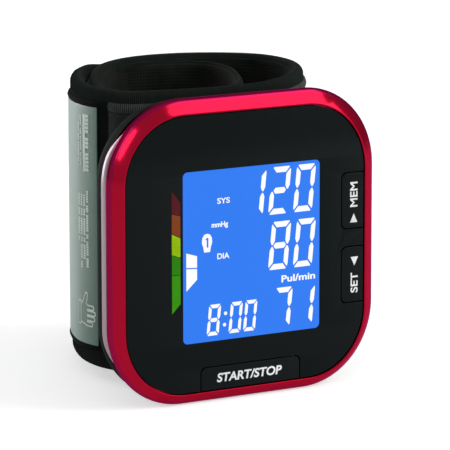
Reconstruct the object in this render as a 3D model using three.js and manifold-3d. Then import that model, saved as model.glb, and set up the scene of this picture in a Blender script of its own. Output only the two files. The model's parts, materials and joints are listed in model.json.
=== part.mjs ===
// Wrist blood pressure monitor with a wound fabric cuff, in millimetres.
// +X is to the right of the display, +Y runs back from it, +Z is up.
// The origin is the middle of the trim ring's foot, on which the head stands.
import * as THREE from 'three';
import { mergeVertices } from 'three/addons/utils/BufferGeometryUtils.js';
import Module from 'manifold-3d';

// Head outline, seen from the front
const HEAD_WIDTH = 73.2;
const HEAD_HEIGHT = 72.5;
const HEAD_CORNER = 18.5;
const BEZEL_SIDE = 3.55;
const BEZEL_TOP = 3.8;
const BEZEL_FOOT = 2.6;
const CORNER_STEPS = 8;
const FINE_STEPS = 3;

// Clearances, how far a cutter runs past a face, and how far joined solids overlap
const SEAT_GAP = 0.25;
const RUN_GAP = 0.35;
const CUT_PAST = 1;
const JOIN_OVERLAP = 1;

// Depths, counted back from the front panel's face
const PANEL_THICK = 2.6;
const BEZEL_LIP = 0.3;
const BEZEL_EDGE = 2.2;
const BEZEL_RIM = 0.3;
const FLANGE_THICK = 1.15;
const TRIM_WIDTH = 2.2;

// Bezel section: shares of its width, and for the bevel's turns shares of its edge depth too
const BEVEL_CREST = 0.92;
const BEVEL_BREAK = [0.25, 0.43];
const BEVEL_ROUND = [0.07, 0.66];
const SKIRT_OUTER = 0.34;
const SKIRT_INNER = 0.62;
const FLANGE_REACH = 1.25;

// Rear case: a bowl that narrows towards its hollow back
const CASE_WALL = 1.6;
const CASE_BACK = 19.3;
const CASE_BACK_RADIUS = 105;
const CASE_BACK_CENTRE = 4;
const CASE_LIP_INSET = 0.9;
const CASE_TAPER = [[3.2, 0.3], [6.7, 2], [10.7, 4.4], [14.7, 7.4], [18.2, 10.9]];

// Display
const WINDOW_WIDTH = 37.9;
const WINDOW_HEIGHT = 41.1;
const WINDOW_X = 1.4;
const WINDOW_Z = 34.8;
const WINDOW_CORNER = 1.2;
const GLASS_MARGIN = 1.5;
const GLASS_THICK = 1.5;
const BACKLIGHT_THICK = 1.9;
const HOLDER_WALL = 1.1;
const STRIP_HEIGHT = 1.5;
const STRIP_INSET = 1;

// Push buttons
const BUTTON_TRAVEL = 0.5;
const BUTTON_THICK = 2;
const BUTTON_CORNER = 1.4;
const BUTTON_FLANGE = 0.7;
const BUTTON_FLANGE_REACH = 0.7;
const BUTTON_CORE_INSET = 1;
const BUTTON_EDGE_ROOM = 1.7;
const START_X = 1;
const START_WIDTH = 27.8;
const START_HEIGHT = 5.7;
const SIDE_BUTTON_WIDTH = 6.4;
const SIDE_BUTTON_LENGTH = 13.9;
const MEMORY_Z = 44.6;
const SET_Z = 26.6;

// Button switches
const SWITCH_SIZE = 4.4;
const SWITCH_HEIGHT = 1;
const SWITCH_FLOOR = 0.12;
const PLUNGER_RADIUS = 0.95;
const PLUNGER_LENGTH = 0.8;
const STEM_RADIUS = 1.4;
const PLUNGER_GAP = 0.1;

// Circuit boards and what they carry
const BOARD_THICK = 1.2;
const BOARD_EDGE = 0.5;
const BOARD_LEFT_ROOM = 18.4;
const BOARD_RIGHT_ROOM = 30;
const BOARD_BOTTOM = 4;
const BOARD_TOP_ROOM = 8.5;
const KEY_BOARD_WIDTH = 8;
const KEY_BOARD_LENGTH = 38;
const KEY_BOARD_THICK = 0.8;
const KEY_BOARD_DEPTH = 5.8;
const CHIP_SIZE = 6.4;
const CHIP_HEIGHT = 1;
const BUZZER_RADIUS = 4;
const BUZZER_HEIGHT = 3;
const SENSOR_WIDTH = 5.4;
const SENSOR_HEIGHT = 7;
const SENSOR_DEPTH = 6;

// Air circuit
const AIR_X = -7;
const AIR_Z = 28;
const VALVE_RADIUS = 4.1;
const VALVE_LENGTH = 14;
const VALVE_BOTTOM = 42;
const MANIFOLD_RADIUS = 2.2;
const MANIFOLD_LENGTH = 8;
const NIPPLE_RADIUS = 1.1;
const NIPPLE_LENGTH = 2.5;
const TUBE_BORE = 1.4;
const TUBE_RADIUS = 2.1;
const PUMP_SIDE_ROOM = 11;
const PUMP_DEPTH = 10;
const PUMP_RADIUS = 5.9;
const PUMP_BOTTOM = 20;
const PUMP_HEAD_LENGTH = 11.5;
const PUMP_MOTOR_LENGTH = 20;
const CRADLE_WIDTH = 2;
const CRADLE_HALF = 4.6;
const CRADLE_RISES = [4, 17.5, 26.5];

// Two AAA cells in series, the right one with its button up
const CELL_RADIUS = 5.25;
const CELL_LENGTH = 44.5;
const CELL_NUB_RADIUS = 1.8;
const CELL_NUB = 0.9;
const CELL_GAP = 0.2;
const CELL_SPRING = 3.4;
const SPRING_RADIUS = 3;
const SPRING_WIRE = 0.35;
const SPRING_TURNS = 3;
const CONTACT_THICK = 0.4;
const CONTACT_SIZE = 8.6;
const TRAY_WALL = 1;
const COVER_MARGIN = 0.6;

// Screws
const SCREW_SIDE_ROOM = 14.5;
const SCREW_EDGE = 6.4;
const SCREW_RADIUS = 0.8;
const SCREW_HEAD_RADIUS = 1.9;
const SCREW_HEAD = 1.4;
const SCREW_SEAT = 11;
const SCREW_BITE = 2.6;
const FRONT_BOSS_RADIUS = 3;
const PILOT_FLOOR = 0.6;
const REAR_BOSS_RADIUS = 3.4;
const BOSS_FACE = 6.8;
const STUD_X = 3;
const STUD_LOW = 15.5;
const STUD_TOP_ROOM = 11.5;
const STUD_RADIUS = 2.2;
const CUFF_SCREW_HEAD_RADIUS = 2.9;

// Cuff: one winding, given by points (x, depth) on its outer face
const WINDING = [
  [-20.8, 28.9], [-20, 26], [-17.4, 23.8], [-11.8, 22.4], [-2.8, 20.8], [9.2, 20], [20.7, 22.2], [31.7, 28.8],
  [40.4, 38.3], [45, 49.3], [44.1, 59.8], [38.2, 67.8], [28.7, 72.6], [17.7, 74.3], [7.2, 72.6],
  [-2.3, 67], [-9.6, 58.6], [-14.2, 49], [-15.6, 39.5], [-12, 31], [-2.8, 26.4], [8.5, 24.8],
  [15.5, 28.2], [20.8, 35.2], [25.2, 43.3], [28.4, 52], [28.6, 60.5], [24.8, 66.6], [16.5, 69.2],
  [8, 68], [3.2, 65.3],
];
const TAIL = [
  [-20.9, 29.2], [-22, 33.8], [-21.8, 41], [-19.3, 49.5], [-14.3, 59.7], [-6.4, 70], [3.6, 76.8],
];
const BAND_SHARE = 0.605;
const CURL_GAP_SHARE = 0.003;
const BEHIND_HEAD = [0.01, 0.16];
const SHARE_FINENESS = 1e-6;
const COVER_THICK = 0.8;
const FORMER_THICK = 0.8;
const BLADDER_THICK = 0.8;
const LINING_THICK = 0.7;
const CURL_THICK = 2.6;
const CURL_DROP = 1;
const CUFF_BOTTOM = 3.8;
const CUFF_HEIGHT = 67.6;
const BINDING_HEIGHT = 3.45;
const CUFF_RISE = 0.025;
const TAIL_COVER_THICK = 1.1;
const TAIL_LINING_THICK = 2.4;
const LABEL_THICK = 0.4;
const LABEL_EDGE = 1.4;
const LABEL_FROM = 0.06;
const LABEL_TO = 0.72;
const HOOK_THICK = 0.25;
const HOOK_FROM = 0.66;
const HOOK_TO = 0.97;
const BAND_STEPS = 46;
const CURL_STEPS = 34;
const TAIL_STEPS = 18;

// Places that follow from the sizes above
const PANEL_RIGHT = HEAD_WIDTH / 2 - BEZEL_SIDE - SEAT_GAP;
const PANEL_BOTTOM = BEZEL_FOOT + SEAT_GAP;
const FLANGE_FRONT = PANEL_THICK + SEAT_GAP;
const FLANGE_BACK = FLANGE_FRONT + FLANGE_THICK;
const TRIM_FRONT = BEZEL_EDGE + BEZEL_RIM + RUN_GAP;
const TRIM_BACK = TRIM_FRONT + TRIM_WIDTH;
const CASE_FRONT = TRIM_BACK + SEAT_GAP;
const GLASS_FRONT = PANEL_THICK + SEAT_GAP;
const BACKLIGHT_FRONT = GLASS_FRONT + GLASS_THICK + SEAT_GAP;
const HOLDER_BACK = BACKLIGHT_FRONT + BACKLIGHT_THICK + SEAT_GAP;
const BOARD_FRONT = HOLDER_BACK + SEAT_GAP;
const BOARD_BACK = BOARD_FRONT + BOARD_THICK;
const AIR_DEPTH = BOARD_BACK + SEAT_GAP + VALVE_RADIUS;
const CELL_DEPTH = HOLDER_BACK + SEAT_GAP + CELL_RADIUS;
const BOARD_LEFT = BOARD_LEFT_ROOM - HEAD_WIDTH / 2;
const BOARD_RIGHT = HEAD_WIDTH / 2 - BOARD_RIGHT_ROOM;
const BOARD_TOP = HEAD_HEIGHT - BOARD_TOP_ROOM;
const PUMP_X = PUMP_SIDE_ROOM - HEAD_WIDTH / 2;
const SCREW_X = HEAD_WIDTH / 2 - SCREW_SIDE_ROOM;
const STUD_HIGH = HEAD_HEIGHT - STUD_TOP_ROOM;
const BAY_HEIGHT = CELL_LENGTH + CELL_SPRING + 2 * CONTACT_THICK + 5 * CELL_GAP;
const BAY_BOTTOM = (HEAD_HEIGHT - BAY_HEIGHT) / 2;
const TRAY_LEFT = BOARD_RIGHT + SEAT_GAP;
const INNER_CELL_X = TRAY_LEFT + TRAY_WALL + CELL_GAP + CELL_RADIUS;
const OUTER_CELL_X = INNER_CELL_X + 2 * CELL_RADIUS + CELL_GAP;
const CONTACT_TOP = BAY_BOTTOM + CELL_GAP + CONTACT_THICK;
const OUTER_CELL_BOTTOM = CONTACT_TOP + CELL_GAP + CELL_SPRING + CELL_GAP;
const INNER_CELL_BOTTOM = CONTACT_TOP + CELL_GAP;
const LINK_BOTTOM = OUTER_CELL_BOTTOM + CELL_LENGTH + CELL_GAP;
const BAY_TOP = LINK_BOTTOM + CONTACT_THICK + CELL_GAP;
const KEY_BOARD_X = PANEL_RIGHT - SIDE_BUTTON_WIDTH / 2;
const KEY_BOARD_Z = (MEMORY_Z + SET_Z) / 2;
const BAND_THICK = COVER_THICK + FORMER_THICK + BLADDER_THICK + LINING_THICK + 3 * SEAT_GAP;
const FORMER_FROM = COVER_THICK + SEAT_GAP;
const BLADDER_FROM = FORMER_FROM + FORMER_THICK + SEAT_GAP;
const LINING_FROM = BLADDER_FROM + BLADDER_THICK + SEAT_GAP;
const CUFF_TOP = CUFF_BOTTOM + CUFF_HEIGHT;
const LAYER_BOTTOM = CUFF_BOTTOM + BINDING_HEIGHT + SEAT_GAP;
const LAYER_TOP = CUFF_TOP - BINDING_HEIGHT - SEAT_GAP;
const TAIL_LINING_FROM = TAIL_COVER_THICK + SEAT_GAP;
const TAIL_THICK = TAIL_LINING_FROM + TAIL_LINING_THICK;

const wasm = await Module();
wasm.setup();

// Closed solids from triangles, and their joins and cuts

function toManifold(geometry) {
  const bare = geometry.clone();
  bare.deleteAttribute('normal');
  bare.deleteAttribute('uv');
  const merged = mergeVertices(bare, 1e-4);
  const vertProperties = new Float32Array(merged.attributes.position.array);
  const triVerts = new Uint32Array(merged.index.array);
  return new wasm.Manifold(new wasm.Mesh({ numProp: 3, vertProperties, triVerts }));
}

function fromManifold(solid) {
  const { vertProperties, triVerts } = solid.getMesh();
  const geometry = new THREE.BufferGeometry();
  geometry.setAttribute('position', new THREE.BufferAttribute(vertProperties, 3));
  geometry.setIndex(new THREE.BufferAttribute(triVerts, 1));
  return geometry;
}

function join(first, ...others) {
  return fromManifold(others.reduce((sum, part) => sum.add(toManifold(part)), toManifold(first)));
}

function cut(first, ...others) {
  return fromManifold(others.reduce((rest, part) => rest.subtract(toManifold(part)), toManifold(first)));
}

function common(first, second) {
  return fromManifold(toManifold(first).intersect(toManifold(second)));
}

function signedVolume(points, faces) {
  const cross = new THREE.Vector3();
  return faces.reduce((sum, [a, b, c]) => {
    cross.crossVectors(points[b], points[c]);
    return sum + points[a].dot(cross) / 6;
  }, 0);
}

function solidFrom(points, faces) {
  const outward = signedVolume(points, faces) > 0;
  const ordered = outward ? faces : faces.map(([a, b, c]) => [a, c, b]);
  const geometry = new THREE.BufferGeometry();
  geometry.setFromPoints(points);
  geometry.setIndex(ordered.flat());
  return geometry;
}

// Rings of points in order, closed by flat ends or, for a hoop, by joining the last to the first
function loft(rings, hoop = false) {
  const size = rings[0].length;
  const faces = [];
  const spans = hoop ? rings.length : rings.length - 1;
  for (let ring = 0; ring < spans; ring += 1) {
    const near = ring * size;
    const far = ((ring + 1) % rings.length) * size;
    for (let i = 0; i < size; i += 1) {
      const next = (i + 1) % size;
      faces.push([near + i, near + next, far + next], [near + i, far + next, far + i]);
    }
  }
  if (!hoop) {
    const last = (rings.length - 1) * size;
    for (let i = 1; i < size - 1; i += 1) {
      faces.push([0, i + 1, i], [last, last + i, last + i + 1]);
    }
  }
  return solidFrom(rings.flat(), faces);
}

// Plain blocks, rods and plates

function block(xFrom, xTo, depthFrom, depthTo, zFrom, zTo) {
  const geometry = new THREE.BoxGeometry(xTo - xFrom, depthTo - depthFrom, zTo - zFrom);
  return geometry.translate((xFrom + xTo) / 2, (depthFrom + depthTo) / 2, (zFrom + zTo) / 2);
}

function rodAlongY(radius, x, z, depthFrom, depthTo, sides = 14) {
  const geometry = new THREE.CylinderGeometry(radius, radius, depthTo - depthFrom, sides);
  return geometry.translate(x, (depthFrom + depthTo) / 2, z);
}

function rodAlongZ(radius, x, depth, zFrom, zTo, sides = 14) {
  const geometry = new THREE.CylinderGeometry(radius, radius, zTo - zFrom, sides);
  return geometry.rotateX(Math.PI / 2).translate(x, depth, (zFrom + zTo) / 2);
}

function rodAlongX(radius, depth, z, xFrom, xTo, sides = 14) {
  const geometry = new THREE.CylinderGeometry(radius, radius, xTo - xFrom, sides);
  return geometry.rotateZ(Math.PI / 2).translate((xFrom + xTo) / 2, depth, z);
}

// A length of tube along its own Y axis, from 0 to its length
function tubePiece(length) {
  const outer = [[TUBE_RADIUS, 0], [TUBE_RADIUS, length]];
  const profile = [[TUBE_BORE, 0], ...outer, [TUBE_BORE, length], [TUBE_BORE, 0]];
  return new THREE.LatheGeometry(profile.map(([r, y]) => new THREE.Vector2(r, y)), 10);
}

// A flat outline in (x, z), given its thickness between two depths
function plate(shape, depthFrom, depthTo, curveSegments = CORNER_STEPS) {
  const thickness = depthTo - depthFrom;
  const geometry = new THREE.ExtrudeGeometry(shape, { depth: thickness, bevelEnabled: false, curveSegments });
  return geometry.rotateX(Math.PI / 2).translate(0, depthTo, 0);
}

function roundedShape(xFrom, xTo, zFrom, zTo, radius) {
  const shape = new THREE.Shape();
  shape.moveTo(xFrom + radius, zFrom);
  shape.lineTo(xTo - radius, zFrom);
  shape.absarc(xTo - radius, zFrom + radius, radius, -Math.PI / 2, 0);
  shape.lineTo(xTo, zTo - radius);
  shape.absarc(xTo - radius, zTo - radius, radius, 0, Math.PI / 2);
  shape.lineTo(xFrom + radius, zTo);
  shape.absarc(xFrom + radius, zTo - radius, radius, Math.PI / 2, Math.PI);
  shape.lineTo(xFrom, zFrom + radius);
  shape.absarc(xFrom + radius, zFrom + radius, radius, Math.PI, 1.5 * Math.PI);
  return shape;
}

// Head outline moved inwards by a share of the bezel's width: 0 is its edge, 1 the panel's opening
function headRing(share, depth) {
  const left = -HEAD_WIDTH / 2 + share * BEZEL_SIDE;
  const bottom = share * BEZEL_FOOT;
  const top = HEAD_HEIGHT - share * BEZEL_TOP;
  return ringAt(left, bottom, top, HEAD_CORNER - share * BEZEL_SIDE, depth);
}

// Head outline moved inwards by the same distance all round
function insetRing(inset, depth) {
  return ringAt(-HEAD_WIDTH / 2 + inset, inset, HEAD_HEIGHT - inset, HEAD_CORNER - inset, depth);
}

function ringAt(left, bottom, top, corner, depth) {
  const centres = [
    [-left - corner, bottom + corner], [-left - corner, top - corner],
    [left + corner, top - corner], [left + corner, bottom + corner],
  ];
  return centres.flatMap(([x, z], quarter) => {
    const points = [];
    for (let step = 0; step <= CORNER_STEPS; step += 1) {
      const angle = (quarter - 1 + step / CORNER_STEPS) * Math.PI / 2;
      points.push(new THREE.Vector3(x + corner * Math.cos(angle), depth, z + corner * Math.sin(angle)));
    }
    return points;
  });
}

// Rear bowl, its sides moved in by a wall and its hollow back moved forward by it
function bowl(wall, front) {
  const rings = [[0, 0], ...CASE_TAPER].map(([back, inset]) => {
    const depth = back === 0 ? front : CASE_FRONT + back;
    return insetRing(CASE_LIP_INSET + inset + wall, depth);
  });
  const hollowRadius = CASE_BACK_RADIUS + wall;
  const hollow = rodAlongZ(hollowRadius, CASE_BACK_CENTRE, CASE_BACK + CASE_BACK_RADIUS, -HEAD_HEIGHT,
    2 * HEAD_HEIGHT, 160);
  return cut(loft(rings), hollow);
}

// What goes inside the rear case is trimmed to its cavity
function fitInCase(geometry) {
  return common(geometry, bowl(CASE_WALL + SEAT_GAP, -PANEL_THICK));
}

function caseBackAt(x) {
  const across = x - CASE_BACK_CENTRE;
  return CASE_BACK + CASE_BACK_RADIUS - Math.sqrt(CASE_BACK_RADIUS ** 2 - across ** 2);
}

// Cuff ribbons: a stretch of a winding between two distances in from its outer face, standing up in Z

function planCurve(points) {
  return new THREE.CatmullRomCurve3(points.map(([x, depth]) => new THREE.Vector3(x, depth, 0)));
}

const windingCurve = planCurve(WINDING);
const tailCurve = planCurve(TAIL);

function facePoint(curve, share, inwards) {
  const point = curve.getPointAt(share);
  const along = curve.getTangentAt(share);
  return new THREE.Vector2(point.x - along.y * inwards, point.y + along.x * inwards);
}

function ribbon(curve, shares, distances, heights, steps) {
  const [from, to] = shares;
  const rows = distances.map((inwards) => {
    const row = [];
    for (let step = 0; step <= steps; step += 1) {
      row.push(facePoint(curve, from + (to - from) * step / steps, inwards));
    }
    return row;
  });
  const outline = new THREE.Shape([...rows[0], ...rows[1].reverse()]);
  const [bottom, top] = heights;
  const geometry = new THREE.ExtrudeGeometry(outline, { depth: top - bottom, bevelEnabled: false });
  return geometry.translate(0, 0, bottom);
}

// The band climbs a little from the head to its back
function climb(geometry) {
  const { position } = geometry.attributes;
  for (let i = 0; i < position.count; i += 1) {
    position.setZ(i, position.getZ(i) + CUFF_RISE * (position.getY(i) - WINDING[0][1]));
  }
  return geometry;
}

function bandRibbon(from, thickness, heights) {
  return climb(ribbon(windingCurve, [0, BAND_SHARE], [from, from + thickness], heights, BAND_STEPS));
}

function tailRibbon(from, thickness, heights, shares = [0, 1]) {
  return ribbon(tailCurve, shares, [-from, -from - thickness], heights, TAIL_STEPS);
}

// The assembly

const monitor = new THREE.Group();

function add(name, geometry, color, roughness, metalness = 0) {
  const bare = geometry.index ? geometry : mergeVertices(geometry);
  const material = new THREE.MeshStandardMaterial({ color, roughness, metalness });
  const mesh = new THREE.Mesh(bare, material);
  mesh.name = name;
  monitor.add(mesh);
}

const screwPlaces = [
  [-SCREW_X, SCREW_EDGE], [SCREW_X, SCREW_EDGE],
  [-SCREW_X, HEAD_HEIGHT - SCREW_EDGE], [SCREW_X, HEAD_HEIGHT - SCREW_EDGE],
];

function addBezel() {
  const turns = [BEVEL_BREAK, BEVEL_ROUND].map(([share, depthShare]) => [share, depthShare * BEZEL_EDGE]);
  const rimBack = BEZEL_EDGE + BEZEL_RIM;
  const profile = [
    [1, -BEZEL_LIP / 2], [BEVEL_CREST, -BEZEL_LIP], ...turns, [0, BEZEL_EDGE], [0, rimBack],
    [SKIRT_OUTER, rimBack], [SKIRT_OUTER, TRIM_BACK], [SKIRT_INNER, TRIM_BACK], [SKIRT_INNER, FLANGE_BACK],
    [FLANGE_REACH, FLANGE_BACK], [FLANGE_REACH, FLANGE_FRONT], [1, FLANGE_FRONT],
  ];
  const ring = loft(profile.map(([share, depth]) => headRing(share, depth)), true);
  const bosses = screwPlaces.map(([x, z]) => rodAlongY(FRONT_BOSS_RADIUS, x, z, FLANGE_FRONT, BOSS_FACE));
  const pilots = screwPlaces.map(([x, z]) => rodAlongY(SCREW_RADIUS + SEAT_GAP, x, z,
    FLANGE_FRONT + PILOT_FLOOR, BOSS_FACE + CUT_PAST, 10));
  add('bezel_ring', cut(join(ring, ...bosses), ...pilots), 0xa30823, 0.18, 0.6);
  const trimShare = SKIRT_OUTER - SEAT_GAP / BEZEL_FOOT;
  const trimProfile = [[0, TRIM_FRONT], [0, TRIM_BACK], [trimShare, TRIM_BACK], [trimShare, TRIM_FRONT]];
  const trimRings = trimProfile.map(([share, depth]) => headRing(share, depth));
  add('trim_ring', loft(trimRings, true), 0xb7a6ad, 0.3, 0.8);
}

// Openings that the three buttons share with the panel, running out past its edge
const buttonPlaces = {
  start_stop: {
    left: START_X - START_WIDTH / 2, right: START_X + START_WIDTH / 2,
    bottom: PANEL_BOTTOM, top: PANEL_BOTTOM + START_HEIGHT,
  },
  memory: {
    left: PANEL_RIGHT - SIDE_BUTTON_WIDTH, right: PANEL_RIGHT,
    bottom: MEMORY_Z - SIDE_BUTTON_LENGTH / 2, top: MEMORY_Z + SIDE_BUTTON_LENGTH / 2,
  },
  set: {
    left: PANEL_RIGHT - SIDE_BUTTON_WIDTH, right: PANEL_RIGHT,
    bottom: SET_Z - SIDE_BUTTON_LENGTH / 2, top: SET_Z + SIDE_BUTTON_LENGTH / 2,
  },
};

function addPanel() {
  const { left, right, bottom, top } = windowPlace();
  const outline = roundedShape(-PANEL_RIGHT, PANEL_RIGHT, PANEL_BOTTOM, HEAD_HEIGHT - BEZEL_TOP - SEAT_GAP,
    HEAD_CORNER - BEZEL_SIDE - SEAT_GAP);
  const opening = plate(roundedShape(left, right, bottom, top, WINDOW_CORNER), -CUT_PAST,
    PANEL_THICK + CUT_PAST, FINE_STEPS);
  const notches = Object.values(buttonPlaces).map((place) => {
    const past = 2 * BUTTON_CORNER;
    const atFoot = place.bottom === PANEL_BOTTOM;
    const shape = roundedShape(place.left, place.right + (atFoot ? 0 : past),
      place.bottom - (atFoot ? past : 0), place.top, BUTTON_CORNER);
    return plate(shape, -CUT_PAST, PANEL_THICK + CUT_PAST, FINE_STEPS);
  });
  add('front_panel', cut(plate(outline, 0, PANEL_THICK), opening, ...notches), 0x191e1e, 0.12);
  const lens = roundedShape(left + SEAT_GAP, right - SEAT_GAP, bottom + SEAT_GAP, top - SEAT_GAP,
    WINDOW_CORNER - SEAT_GAP);
  add('display_window', plate(lens, 0, PANEL_THICK - SEAT_GAP, FINE_STEPS), 0xdfe8f2, 0.05);
}

function windowPlace() {
  return {
    left: WINDOW_X - WINDOW_WIDTH / 2, right: WINDOW_X + WINDOW_WIDTH / 2,
    bottom: WINDOW_Z - WINDOW_HEIGHT / 2, top: WINDOW_Z + WINDOW_HEIGHT / 2,
  };
}

// A button, the switch behind it and the switch's plunger, which travels with the button
function addButton(name, place, boardFront) {
  const x = (place.left + place.right) / 2;
  const z = (place.bottom + place.top) / 2;
  const atFoot = place.bottom === PANEL_BOTTOM;
  const face = common(
    plate(roundedShape(place.left + RUN_GAP, place.right + (atFoot ? -RUN_GAP : BUTTON_CORNER),
      place.bottom + (atFoot ? -BUTTON_CORNER : RUN_GAP), place.top - RUN_GAP, BUTTON_CORNER), 0, BUTTON_THICK,
    FINE_STEPS),
    block(place.left, place.right, -CUT_PAST, BUTTON_THICK, place.bottom, place.top),
  );
  const flangeFront = PANEL_THICK + RUN_GAP;
  const flangeBack = flangeFront + BUTTON_FLANGE;
  const core = block(place.left + BUTTON_CORE_INSET, place.right - BUTTON_EDGE_ROOM,
    BUTTON_THICK / 2, flangeBack,
    place.bottom + (atFoot ? BUTTON_EDGE_ROOM : BUTTON_CORE_INSET), place.top - BUTTON_CORE_INSET);
  const flangeRight = place.right + (atFoot ? BUTTON_FLANGE_REACH : -BUTTON_EDGE_ROOM);
  const flangeBottom = place.bottom + (atFoot ? BUTTON_EDGE_ROOM : -BUTTON_FLANGE_REACH);
  const flange = block(place.left - BUTTON_FLANGE_REACH, flangeRight, flangeFront, flangeBack, flangeBottom,
    place.top + BUTTON_FLANGE_REACH);
  const bodyBack = boardFront - SEAT_GAP;
  const bodyFront = bodyBack - SWITCH_HEIGHT;
  const plungerFront = bodyFront - BUTTON_TRAVEL;
  const stemX = atFoot ? x : x - BUTTON_EDGE_ROOM / 2;
  const stemZ = atFoot ? z + BUTTON_EDGE_ROOM / 2 : z;
  const stem = rodAlongY(STEM_RADIUS, stemX, stemZ, flangeFront, plungerFront - PLUNGER_GAP, 10);
  add(`${name}_button`, join(face, core, flange, stem), 0x1c2121, 0.25);
  const half = SWITCH_SIZE / 2;
  const body = block(stemX - half, stemX + half, bodyFront, bodyBack, stemZ - half, stemZ + half);
  const pocket = rodAlongY(PLUNGER_RADIUS + SEAT_GAP, stemX, stemZ, bodyFront - CUT_PAST,
    bodyBack - SWITCH_FLOOR, 10);
  add(`${name}_switch`, cut(body, pocket), 0xb9bcc0, 0.35, 0.6);
  const plunger = rodAlongY(PLUNGER_RADIUS, stemX, stemZ, plungerFront, plungerFront + PLUNGER_LENGTH, 10);
  add(`${name}_plunger`, plunger, 0x222222, 0.5);
}

function addDisplay() {
  const { left, right, bottom, top } = windowPlace();
  const glassLeft = left - GLASS_MARGIN;
  const glassRight = right + GLASS_MARGIN;
  const glassBottom = bottom - GLASS_MARGIN;
  const glassTop = top + GLASS_MARGIN;
  const stripTop = glassBottom + SEAT_GAP + STRIP_HEIGHT;
  add('lcd_glass', block(glassLeft, glassRight, GLASS_FRONT, GLASS_FRONT + GLASS_THICK, glassBottom, glassTop),
    0x3a7cf0, 0.15);
  add('backlight_panel', block(glassLeft, glassRight, BACKLIGHT_FRONT, BACKLIGHT_FRONT + BACKLIGHT_THICK,
    stripTop + SEAT_GAP, glassTop), 0xf2f4f6, 0.4);
  add('zebra_strip', block(glassLeft + STRIP_INSET, BOARD_RIGHT - STRIP_INSET, BACKLIGHT_FRONT,
    BOARD_FRONT - SEAT_GAP, glassBottom + SEAT_GAP, stripTop), 0x2b2b2b, 0.7);
  const inner = roundedShape(glassLeft - SEAT_GAP, glassRight + SEAT_GAP, glassBottom - SEAT_GAP,
    glassTop + SEAT_GAP, SEAT_GAP);
  const reach = HOLDER_WALL + SEAT_GAP;
  const outer = roundedShape(glassLeft - reach, glassRight + reach, glassBottom - reach, glassTop + reach,
    WINDOW_CORNER);
  const frame = cut(plate(outer, GLASS_FRONT, HOLDER_BACK, FINE_STEPS), plate(inner, 0, BOARD_FRONT, 1));
  add('lcd_holder', frame, 0x1a1a1c, 0.6);
}

function addBoards() {
  add('main_circuit_board', block(BOARD_LEFT, BOARD_RIGHT, BOARD_FRONT, BOARD_BACK, BOARD_BOTTOM, BOARD_TOP),
    0x1c5a34, 0.5);
  const halfWidth = KEY_BOARD_WIDTH / 2;
  const halfLength = KEY_BOARD_LENGTH / 2;
  add('key_board', block(KEY_BOARD_X - halfWidth, KEY_BOARD_X + halfWidth, KEY_BOARD_DEPTH,
    KEY_BOARD_DEPTH + KEY_BOARD_THICK, KEY_BOARD_Z - halfLength, KEY_BOARD_Z + halfLength), 0x1c5a34, 0.5);
  const seat = BOARD_BACK + SEAT_GAP;
  const chipLeft = BOARD_LEFT + BOARD_EDGE;
  add('controller_chip', block(chipLeft, chipLeft + CHIP_SIZE, seat, seat + CHIP_HEIGHT, VALVE_BOTTOM,
    VALVE_BOTTOM + CHIP_SIZE), 0x151515, 0.6);
  const buzzerX = BOARD_RIGHT - BUZZER_RADIUS - BOARD_EDGE;
  const buzzerZ = VALVE_BOTTOM + VALVE_LENGTH / 2;
  add('buzzer', rodAlongY(BUZZER_RADIUS, buzzerX, buzzerZ, seat, seat + BUZZER_HEIGHT, 18), 0x111111, 0.6);
  const sensorLeft = BOARD_RIGHT - BOARD_EDGE - SENSOR_WIDTH;
  const sensor = block(sensorLeft, sensorLeft + SENSOR_WIDTH, seat, seat + SENSOR_DEPTH,
    AIR_Z - SENSOR_HEIGHT / 2, AIR_Z + SENSOR_HEIGHT / 2);
  const sensorNipple = rodAlongX(NIPPLE_RADIUS, AIR_DEPTH, AIR_Z, sensorLeft - NIPPLE_LENGTH,
    sensorLeft + JOIN_OVERLAP, 10);
  add('pressure_sensor', join(sensor, sensorNipple), 0xd9d6cb, 0.45);
  const tubeFrom = AIR_X + MANIFOLD_RADIUS + SEAT_GAP;
  const tubeLength = sensorLeft - SEAT_GAP - tubeFrom;
  add('sensor_tube', tubePiece(tubeLength).rotateZ(-Math.PI / 2).translate(tubeFrom, AIR_DEPTH, AIR_Z),
    0xc9cdc8, 0.55);
}

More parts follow.
